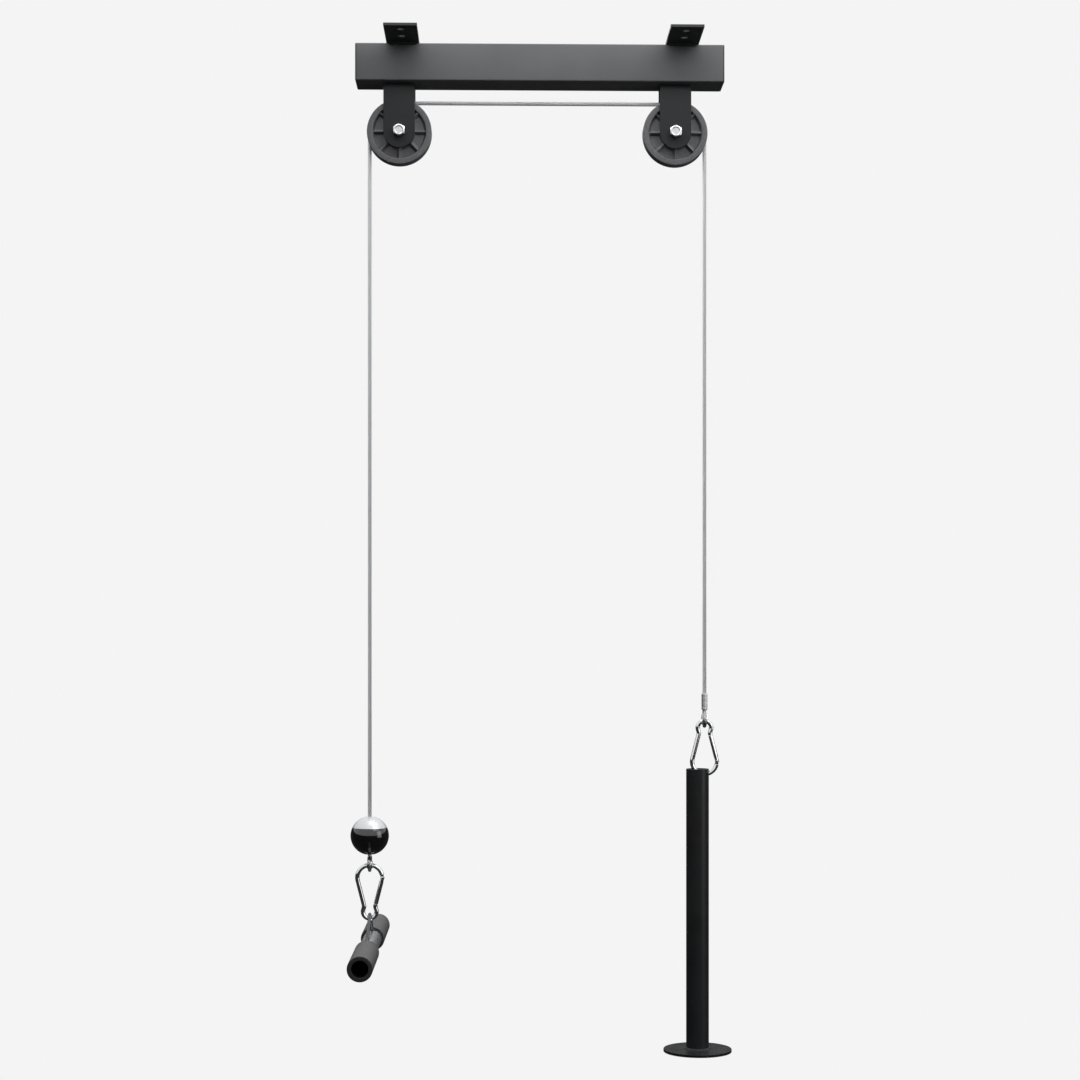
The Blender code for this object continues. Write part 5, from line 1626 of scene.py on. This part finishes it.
def tongue_mesh(pivot):
    """Flat tongue on the hook's end that carries the gate's rivet."""
    half = TONGUE_WIDTH / 2
    root = HOOK_BIG_RADIUS * Vector((math.cos(HOOK_END), math.sin(HOOK_END)))
    back = (root - pivot).normalized()
    root = pivot + back * TONGUE_ROOT
    across = Vector((-back.y, back.x))
    facing = math.atan2(-back.y, -back.x)
    outline = arc(pivot, half, facing - math.pi / 2, facing + math.pi / 2, TONGUE_STEPS)
    outline += [tuple(root - across * half), tuple(root + across * half)]
    return extruded("tongue", outline, TONGUE_THICKNESS)


def rivet_drill(pivot):
    """Cutter for the rivet's hole, turned half a facet so that it cuts the gate's facets cleanly."""
    reach = HOOK_RADIUS + OVERRUN
    cutter = drill(RIVET_RADIUS + GAP, -reach, reach, WIRE_SIDES, "Y")
    half_facet = Matrix.Rotation(math.pi / WIRE_SIDES, 4, "Y")
    return moved(cutter, Matrix.Translation((pivot.x, 0, pivot.y)) @ half_facet)


def hook_mesh():
    """Snap hook's bent body with its domed nose, and the tongue for the gate."""
    pivot = gate_frame()[0]
    bent = rod(hook_path(), HOOK_RADIUS, start_dome=HOOK_DOME, end_dome=HOOK_DOME)
    body = ring_mesh("hook", in_xz(bent))
    return carved(carved(body, tongue_mesh(pivot), "UNION"), rivet_drill(pivot))


def gate_mesh():
    """Straight gate with round ends, forked over the hook's tongue and bored for its spring."""
    length = gate_frame()[2]
    side = [(SPECK * MM, -GATE_TAIL), (GATE_RADIUS, -GATE_TAIL, GATE_EDGE), (GATE_RADIUS, length, GATE_EDGE),
            (SPECK * MM, length)]
    gate = turned("gate", rounded(side, GATE_EDGE_STEPS), WIRE_SIDES, closed=False)
    slot_end = GATE_SLOT_DEPTH
    slot = block("slot", GATE_RADIUS + OVERRUN, GATE_SLOT_WIDTH / 2, -GATE_TAIL - OVERRUN, slot_end)
    bore = drill(GATE_BORE_RADIUS, slot_end - OVERRUN, slot_end + GATE_BORE_DEPTH, WIRE_SIDES)
    for tool in (slot, bore, rivet_drill(Vector((0, 0)))):
        gate = carved(gate, tool)
    return gate


def spring_mesh():
    """Coil spring in the gate's bore, with its end turns closed up."""
    start = GATE_SLOT_DEPTH + GATE_BORE_DEPTH - GAP - SPRING_LENGTH + SPRING_WIRE
    rise = SPRING_LENGTH - 2 * SPRING_WIRE
    rings = []
    count = SPRING_TURNS * SPRING_TURN_STEPS
    for i in range(count + 1):
        share = i / count
        eased = share - SPRING_CLOSING * math.sin(math.tau * share)
        angle = math.tau * SPRING_TURNS * share
        out = Vector((math.cos(angle), math.sin(angle), 0))
        centre = out * SPRING_RADIUS + Vector((0, 0, start + rise * eased))
        section = circle(SPRING_WIRE, SPRING_SIDES)
        rings.append([tuple(centre + out * a + Vector((0, 0, b))) for a, b in section])
    return ring_mesh("spring", rings)


def rivet_mesh():
    """Rivet with a low, flat head at each end."""
    neck = GATE_RADIUS + GAP
    tip = neck + RIVET_HEAD_HEIGHT
    corners = [(RIVET_RADIUS, 0.0), (RIVET_RADIUS, neck), (RIVET_HEAD_RADIUS, neck),
               (RIVET_HEAD_RADIUS, tip, RIVET_HEAD_EDGE), (SPECK * MM, tip)]
    half = rounded(corners)
    profile = [(r, -y) for r, y in reversed(half[1:])] + half[1:]
    return turned("rivet", profile, WIRE_SIDES, closed=False, axis="Y")


def build_snap_hooks(settings):
    """Both snap hooks with their gates, springs and rivets."""
    metal = chrome(settings.chrome)
    steel = bearing_steel()
    pivot, leg, _ = gate_frame()
    lean = Matrix.Rotation(math.atan2(leg.x, leg.y), 4, "Y")
    for side in SIDES:
        up = HOOK_UP[side]
        flip = Matrix.Diagonal((1, 1, up, 1))
        place = (CABLE_X[side], 0, HOOK_BIG_CENTRE[side])
        pivot_place = (CABLE_X[side] + pivot.x, 0, HOOK_BIG_CENTRE[side] + up * pivot.y)
        rows = (("hook_", moved(hook_mesh(), flip), place, "_hook", "chrome", metal, "snap_hook_"),
                ("gate_", moved(gate_mesh(), flip @ lean), pivot_place, "_gate", "chrome", metal,
                 "snap_hook_gate_"),
                ("gate_spring_", moved(spring_mesh(), flip @ lean), pivot_place, "_gate", "bearing_steel",
                 steel, "snap_hook_spring_"),
                ("gate_rivet_", rivet_mesh(), pivot_place, "_hook", "chrome", metal, "snap_hook_rivet_"))
        for name, mesh, spot, body, slot, material, node in rows:
            add_piece(name + side, mesh, spot, side + body, [material], [node + side])


# Handle and grips


def hanger_path():
    """Half of the hanger's middle line, from its foot to the bend over the hook's ring."""
    foot_z = HANDLE_Z - RING_WIRE_LEFT + HANDLE_RADIUS + GAP + HANGER_RADIUS
    knee = Vector((HANGER_REACH - HANGER_FOOT, foot_z))
    angle = math.atan2(knee.y, knee.x) + math.acos(HANGER_BEND / knee.length)
    top = arc((0, 0), HANGER_BEND, angle, math.pi / 2, HANGER_BEND_STEPS)
    foot = (HANGER_REACH, foot_z)
    return [foot] + bend(foot, tuple(knee), top[0], HANGER_KNEE_BEND, HANGER_KNEE_STEPS) + top


def foot_bead_mesh(name, sign, leg):
    """Weld bead that runs round a hanger's foot on the handle."""
    half_x = HANGER_RADIUS * HANGER_BEAD_INSET
    half_y = HANGER_FOOT / 2
    middle_y = sign * (HANGER_REACH - half_y)
    inside = obround(half_x, half_y + half_x, ROUND_STEPS)
    outside = obround(half_x * 2, half_y + half_x * 2, ROUND_STEPS)
    path, outs = [], []
    for (x, y), (far_x, far_y) in zip(inside, outside):
        drop = HANDLE_RADIUS - math.sqrt(HANDLE_RADIUS**2 - x**2)
        path.append((x, middle_y + y, HANDLE_Z + HANDLE_RADIUS - drop))
        outs.append(Vector((far_x - x, far_y - y, 0)).normalized())
    return bead_mesh(name, path, outs, Vector((0, 0, 1)), leg, closed=True)


def build_handle(hook):
    """The handle's tube and its bent hanger."""
    metal = satin_chrome(hook.chrome)
    # The hanger and its welds are drawn in a dark grey metal, darker than the chrome
    dark = dark_grey_metal(hook.hanger)
    x = CABLE_X["left"]
    end = HANDLE_HALF - GRIP_LIP - HANDLE_END_PLAY
    inner = HANDLE_RADIUS - HANDLE_WALL
    corners = [(inner, -end, HANDLE_INNER_EDGE), (HANDLE_RADIUS, -end, HANDLE_OUTER_EDGE),
               (HANDLE_RADIUS, end, HANDLE_OUTER_EDGE), (inner, end, HANDLE_INNER_EDGE)]
    profile = rounded(corners, 3)
    # The last band closes the profile along the tube's inside, which is bare steel
    slots = [0] * (len(profile) - 1) + [1]
    tube = turned("tube", profile, axis="Y", slots=slots)
    add_piece("handle_bar", tube, (x, 0, HANDLE_Z), "handle", [metal, raw_steel()], ["handle_tube"])
    path = mirrored(hanger_path())
    rings = in_yz(rod(path, HANGER_RADIUS, start_dome=HANGER_DOME, end_dome=HANGER_DOME))
    add_piece("hanger", ring_mesh("hanger", rings), (x, 0, RING_WIRE_LEFT), "handle", [dark],
              ["handle_hanger"])
    beads = [foot_bead_mesh("bead", sign, HANGER_BEAD) for sign in (-1, 1)]
    add_piece("hanger_welds", joined("hanger_welds", beads), (x, 0, 0), "handle", [dark])


def build_grips(settings):
    """Both foam grips. Each wraps a thin lip over the tube's end."""
    materials = [foam(settings.foam), cut_foam_and_shade(settings.cut_foam_and_shade)]
    x = CABLE_X["left"]
    corners = [(GRIP_LIP_RADIUS, 0.0, GRIP_INNER_ROUND), (GRIP_RADIUS, 0.0, settings.end_round),
               (GRIP_RADIUS, GRIP_LENGTH, settings.end_round), (GRIP_BORE, GRIP_LENGTH, GRIP_INNER_ROUND),
               (GRIP_BORE, GRIP_LIP), (GRIP_LIP_RADIUS, GRIP_LIP)]
    outline = rounded(corners)
    # The skin covers the length and part of each end's rounding, and the other bands are cut foam with
    # painted shade
    skin = range(BEND_STEPS + 4, 3 * BEND_STEPS + 1)
    slots = [0 if i in skin else 1 for i in range(len(outline))]
    for row, sign in ROWS.items():
        profile = [(r, -sign * y) for r, y in outline]
        mesh = turned("grip", profile, axis="Y", slots=slots)
        piece = add_piece("grip_" + row, mesh, (x, sign * HANDLE_HALF, HANDLE_Z), "handle",
                          materials, ["handle_grip_" + row])


# Weight post


def post_mesh(rim_round):
    """Open tube with a rounded rim and a hole in its wall for the hook."""
    inner = POST_RADIUS - POST_WALL
    length = POST_TOP - POST_FOOT
    corners = [(inner, -length), (POST_RADIUS, -length), (POST_RADIUS, 0.0, rim_round),
               (inner, 0.0, rim_round)]
    tube = turned("post", rounded(corners))
    wall = POST_RADIUS - POST_WALL / 2
    reach = POST_WALL / 2 + OVERRUN
    turn = Matrix.Translation((wall, 0, POST_HOLE_Z - POST_TOP)) @ Matrix.Rotation(math.pi / 2, 4, "Y")
    hole = moved(drill(POST_HOLE_RADIUS, -reach, reach), turn)
    return bevelled(carved(tube, hole), POST_HOLE_EDGE)


def build_post(frame, post):
    """The weight post on its round base disc, with the bead between them."""
    coat = powder_coat("Satin black powder coat", frame.coat, roughness=0.38, specular=0.3)
    smooth_coat = powder_coat("Smooth black powder coat", frame.coat, roughness=0.28, specular=0.2)
    add_piece("post", post_mesh(post.rim_round), (POST_X, 0, POST_TOP), "post", [coat],
              ["post_tube"])
    corners = [(SPECK * MM, -DISC_THICKNESS), (DISC_RADIUS, -DISC_THICKNESS, DISC_EDGE),
               (DISC_RADIUS, 0.0, DISC_EDGE), (SPECK * MM, 0.0)]
    disc = flat_shaded(turned("disc", rounded(corners), closed=False))
    place = (POST_X, 0, DISC_TOP)
    add_piece("base_disc", disc, place, "post", [smooth_coat], ["post_base_disc"])
    count = round(math.tau * POST_RADIUS / BEAD_STEP)
    outs = [Vector((x, y, 0)) for x, y in circle(1.0, count)]
    path = [out * POST_RADIUS for out in outs]
    bead = bead_mesh("post_weld", path, outs, Vector((0, 0, 1)), post.bead, closed=True)
    add_piece("post_weld", bead, place, "post", [coat])


# Studio


def hide_from(obj, *rays):
    """Keep an object out of the given kinds of ray."""
    for ray in rays:
        setattr(obj, "visible_" + ray, False)


def add_lamp(name, power, size, place, target):
    """A soft rectangular lamp that points at a target and that the camera doesn't see."""
    lamp = bpy.data.lights.new(name, "AREA")
    lamp.shape = "RECTANGLE"
    lamp.size, lamp.size_y = size
    lamp.energy = power
    obj = bpy.data.objects.new(name, lamp)
    bpy.context.scene.collection.objects.link(obj)
    obj.location = place
    obj.rotation_euler = (Vector(target) - Vector(place)).to_track_quat("-Z", "Y").to_euler()
    hide_from(obj, "camera")


def cleared(owner):
    """The emptied node tree of a world or a material."""
    owner.use_nodes = True
    owner.node_tree.nodes.clear()
    return owner.node_tree


def seen_directly(tree):
    """One for camera, glossy and transmission rays, which show the background."""
    path = add_node(tree, "LightPath")
    either = add_node(tree, "Math", {"operation": "MAXIMUM"},
                      {0: path.outputs["Is Camera Ray"], 1: path.outputs["Is Glossy Ray"]})
    seen = add_node(tree, "Math", {"operation": "MAXIMUM"},
                    {0: either.outputs[0], 1: path.outputs["Is Transmission Ray"]})
    return seen.outputs[0]


def build_world(settings):
    """Pale all round for what sees it, and a soft light from above that is weaker from the left."""
    world = bpy.data.worlds.new("Soft studio")
    bpy.context.scene.world = world
    tree = cleared(world)
    spot = add_node(tree, "TexCoord")
    parts = add_node(tree, "SeparateXYZ", links={0: spot.outputs["Generated"]})
    above = add_node(tree, "MapRange", {"interpolation_type": "SMOOTHSTEP", "From Min": SKY_BAND[0],
                                        "From Max": SKY_BAND[1], "To Min": 0.0, "To Max": settings.sky},
                     {"Value": parts.outputs["Z"]})
    lateral = add_node(tree, "MapRange", {"From Min": -1.0, "From Max": 1.0, "To Min": SKY_SIDES[0],
                                          "To Max": SKY_SIDES[1]},
                       {"Value": parts.outputs["X"]})
    strength = add_node(tree, "Math", {"operation": "MULTIPLY"},
                        {0: above.outputs["Result"], 1: lateral.outputs["Result"]})
    light = add_node(tree, "Background", {"Color": (1.0, 1.0, 1.0, 1.0)}, {"Strength": strength.outputs[0]})
    pale = add_node(tree, "Background", {"Color": (*settings.background, 1.0)})
    mix = add_node(tree, "MixShader", links={0: seen_directly(tree), 1: light.outputs[0], 2: pale.outputs[0]})
    add_node(tree, "OutputWorld", links={"Surface": mix.outputs[0]})


def floor_material(settings):
    """Matt pale floor that fades into the background, and that throws little light back up."""
    material = bpy.data.materials.new("Pale studio floor")
    tree = cleared(material)
    pale = (*settings.background, 1.0)
    lit = add_node(tree, "BsdfDiffuse", {"Color": (*shaded(settings.background, FLOOR_LIT_SHARE), 1.0)})
    glow = add_node(tree, "Emission", {"Color": pale, "Strength": 1.0 - FLOOR_LIT_SHARE})
    near = add_node(tree, "AddShader", links={0: lit.outputs[0], 1: glow.outputs[0]})
    far = add_node(tree, "Emission", {"Color": pale})
    spot = add_node(tree, "TexCoord")
    reach = add_node(tree, "VectorMath", {"operation": "LENGTH"}, {0: spot.outputs["Object"]})
    fade = add_node(tree, "MapRange", {"interpolation_type": "SMOOTHSTEP", "From Min": FLOOR_FADE[0],
                                       "From Max": FLOOR_FADE[1]},
                    {"Value": reach.outputs["Value"]})
    seen = add_node(tree, "MixShader",
                    links={0: fade.outputs["Result"], 1: near.outputs[0], 2: far.outputs[0]})
    dark = add_node(tree, "BsdfDiffuse", {"Color": FLOOR_BOUNCE})
    both = add_node(tree, "MixShader", links={0: seen_directly(tree), 1: dark.outputs[0], 2: seen.outputs[0]})
    add_node(tree, "OutputMaterial", links={"Surface": both.outputs[0]})
    return material


def build_floor(settings):
    """A pale floor, and a dark flag that only reflections see, which darkens the metal from below."""
    floor = bpy.data.objects.new("floor", floor_mesh())
    floor.location.z = FLOOR_Z
    floor.data.materials.append(floor_material(settings))
    flag = bpy.data.objects.new("flag", flag_mesh())
    flag.data.materials.append(flag_material())
    for obj in (floor, flag):
        bpy.context.scene.collection.objects.link(obj)
    hide_from(flag, "camera", "diffuse", "transmission", "shadow", "volume_scatter")


def flag_material():
    """Dark grey cloth that looks the same from all sides."""
    material = bpy.data.materials.new("Dark flag cloth")
    tree = cleared(material)
    glow = add_node(tree, "Emission", {"Color": FLAG_COLOUR})
    add_node(tree, "OutputMaterial", links={"Surface": glow.outputs[0]})
    return material


def floor_mesh():
    """A flat round sheet."""
    mesh = bpy.data.meshes.new("floor")
    points = [(x, y, 0.0) for x, y in circle(FLOOR_RADIUS, STAGE_STEPS)]
    mesh.from_pydata(points, [], [tuple(range(STAGE_STEPS))])
    return mesh


def flag_mesh():
    """A wide open bowl: a sheet just over the floor, with a wall that is low in front and high behind."""
    outline = circle(FLAG_RADIUS, STAGE_STEPS)
    base = [(x, y, FLOOR_Z + FLAG_LIFT) for x, y in outline]
    rim = [(x, y, FLAG_TOP + (FLAG_RISE if y > 0 else FLAG_DIP) * y / FLAG_RADIUS) for x, y in outline]
    faces = [tuple(range(STAGE_STEPS))]
    for i in range(STAGE_STEPS):
        j = (i + 1) % STAGE_STEPS
        faces.append((i, j, STAGE_STEPS + j, STAGE_STEPS + i))
    mesh = bpy.data.meshes.new("flag")
    mesh.from_pydata(base + rim, [], faces)
    return mesh


def build_lamps(settings):
    """The key lamp at the front right, a broad lamp beside it, and a strip over each side of the beam."""
    lamps = (("key_lamp", settings.key_power, KEY_LAMP), ("edge_lamp", settings.edge_power, EDGE_LAMP))
    for name, power, (turn, lift, distance, size) in lamps:
        flat = math.cos(lift)
        out = Vector((math.sin(turn) * flat, -math.cos(turn) * flat, math.sin(lift)))
        add_lamp(name, power, size, LIT_CENTRE + out * distance, LIT_CENTRE)
    x, y, z = STRIP_PLACE
    for row, sign in ROWS.items():
        place = Vector((x, sign * y, z))
        add_lamp("strip_lamp_" + row, settings.strip_power, STRIP_SIZE, place, place - Vector((0, 0, 1)))


def build_camera():
    """The camera at the photograph's angle."""
    data = bpy.data.cameras.new("camera")
    data.lens = CAMERA_LENS
    data.sensor_width = CAMERA_SENSOR
    data.shift_y = CAMERA_SHIFT
    camera = bpy.data.objects.new("camera", data)
    bpy.context.scene.collection.objects.link(camera)
    camera.location = CAMERA_PLACE
    camera.rotation_euler = (math.pi / 2, 0.0, CAMERA_TURN)
    bpy.context.scene.camera = camera


# Operators, one for each piece or group of like pieces


class LATPULLEY_OT_stage(bpy.types.Operator):
    """Make the camera, the lamps, the world and the floor"""

    bl_idname = "lat_pulley.make_stage"
    bl_label = "Stage"

    def execute(self, context):
        settings = context.scene.lat_stage
        context.scene.view_settings.view_transform = "Standard"
        build_camera()
        build_world(settings)
        build_floor(settings)
        build_lamps(settings)
        return {"FINISHED"}


class LATPULLEY_OT_beam(bpy.types.Operator):
    """Make the square beam and its end caps"""

    bl_idname = "lat_pulley.make_beam"
    bl_label = "Beam"

    def execute(self, context):
        build_beam(context.scene.lat_frame)
        return {"FINISHED"}


class LATPULLEY_OT_plates(bpy.types.Operator):
    """Make the ceiling plates and their welds"""

    bl_idname = "lat_pulley.make_plates"
    bl_label = "Ceiling plates"

    def execute(self, context):
        build_ceiling_plates(context.scene.lat_frame)
        return {"FINISHED"}


class LATPULLEY_OT_yokes(bpy.types.Operator):
    """Make the yoke plates and their welds"""

    bl_idname = "lat_pulley.make_yokes"
    bl_label = "Yokes"

    def execute(self, context):
        build_yokes(context.scene.lat_frame)
        return {"FINISHED"}


class LATPULLEY_OT_sheaves(bpy.types.Operator):
    """Make the ribbed sheaves"""

    bl_idname = "lat_pulley.make_sheaves"
    bl_label = "Sheaves"

    def execute(self, context):
        build_sheaves(context.scene.lat_pulley)
        return {"FINISHED"}


class LATPULLEY_OT_bearings(bpy.types.Operator):
    """Make the ball bearings"""

    bl_idname = "lat_pulley.make_bearings"
    bl_label = "Bearings"

    def execute(self, context):
        build_bearings()
        return {"FINISHED"}


class LATPULLEY_OT_axles(bpy.types.Operator):
    """Make the axle bolts, spacers, washers and lock nuts"""

    bl_idname = "lat_pulley.make_axles"
    bl_label = "Axles"

    def execute(self, context):
        build_axles(context.scene.lat_pulley)
        return {"FINISHED"}


class LATPULLEY_OT_cable(bpy.types.Operator):
    """Make the cable over the pulleys and its upright runs"""

    bl_idname = "lat_pulley.make_cable"
    bl_label = "Cable"

    def execute(self, context):
        build_cable(context.scene.lat_cable)
        return {"FINISHED"}


class LATPULLEY_OT_ball(bpy.types.Operator):
    """Make the stopper ball, its cap and its crimp sleeve"""

    bl_idname = "lat_pulley.make_ball"
    bl_label = "Stopper ball"

    def execute(self, context):
        build_stopper_ball(context.scene.lat_ball, context.scene.lat_cable)
        return {"FINISHED"}


class LATPULLEY_OT_ferrule(bpy.types.Operator):
    """Make the pressed ferrule"""

    bl_idname = "lat_pulley.make_ferrule"
    bl_label = "Ferrule"

    def execute(self, context):
        build_ferrule(context.scene.lat_cable)
        return {"FINISHED"}


class LATPULLEY_OT_loops(bpy.types.Operator):
    """Make the cable's end loops, their thimbles and their sleeves"""

    bl_idname = "lat_pulley.make_loops"
    bl_label = "End loops"

    def execute(self, context):
        build_end_loops(context.scene.lat_cable, context.scene.lat_pulley.zinc)
        return {"FINISHED"}


class LATPULLEY_OT_hooks(bpy.types.Operator):
    """Make the snap hooks with their gates, springs and rivets"""

    bl_idname = "lat_pulley.make_hooks"
    bl_label = "Snap hooks"

    def execute(self, context):
        build_snap_hooks(context.scene.lat_hook)
        return {"FINISHED"}


class LATPULLEY_OT_handle(bpy.types.Operator):
    """Make the handle's tube and its hanger"""

    bl_idname = "lat_pulley.make_handle"
    bl_label = "Handle"

    def execute(self, context):
        build_handle(context.scene.lat_hook)
        return {"FINISHED"}


class LATPULLEY_OT_grips(bpy.types.Operator):
    """Make the foam grips"""

    bl_idname = "lat_pulley.make_grips"
    bl_label = "Grips"

    def execute(self, context):
        build_grips(context.scene.lat_handle)
        return {"FINISHED"}


class LATPULLEY_OT_post(bpy.types.Operator):
    """Make the weight post and its base disc"""

    bl_idname = "lat_pulley.make_post"
    bl_label = "Weight post"

    def execute(self, context):
        build_post(context.scene.lat_frame, context.scene.lat_post)
        return {"FINISHED"}


OPERATORS = [LATPULLEY_OT_stage, LATPULLEY_OT_beam, LATPULLEY_OT_plates, LATPULLEY_OT_yokes,
             LATPULLEY_OT_sheaves, LATPULLEY_OT_bearings, LATPULLEY_OT_axles, LATPULLEY_OT_cable,
             LATPULLEY_OT_ball, LATPULLEY_OT_ferrule, LATPULLEY_OT_loops, LATPULLEY_OT_hooks,
             LATPULLEY_OT_handle, LATPULLEY_OT_grips, LATPULLEY_OT_post]


class LATPULLEY_PT_panel(bpy.types.Panel):
    """Settings and operators of the lat pulley"""

    bl_idname = "LATPULLEY_PT_panel"
    bl_label = "Lat pulley"
    bl_space_type = "VIEW_3D"
    bl_region_type = "UI"
    bl_category = "Lat pulley"

    def draw(self, context):
        for name, group in SETTINGS.items():
            box = self.layout.box()
            for setting in group.__annotations__:
                box.prop(getattr(context.scene, name), setting)
        for operator in OPERATORS:
            self.layout.operator(operator.bl_idname)


def register():
    """Register every class, and hang the settings on the scene."""
    for cls in (*SETTINGS.values(), *OPERATORS, LATPULLEY_PT_panel):
        bpy.utils.register_class(cls)
    for name, group in SETTINGS.items():
        setattr(bpy.types.Scene, name, bpy.props.PointerProperty(type=group))


def unregister():
    """Take back what register did."""
    for name in SETTINGS:
        delattr(bpy.types.Scene, name)
    for cls in (LATPULLEY_PT_panel, *reversed(OPERATORS), *SETTINGS.values()):
        bpy.utils.unregister_class(cls)


def main():
    """Make the stage and every piece."""
    register()
    for operator in OPERATORS:
        group, call = operator.bl_idname.split(".")
        getattr(getattr(bpy.ops, group), call)()


if __name__ == "__main__":
    main()
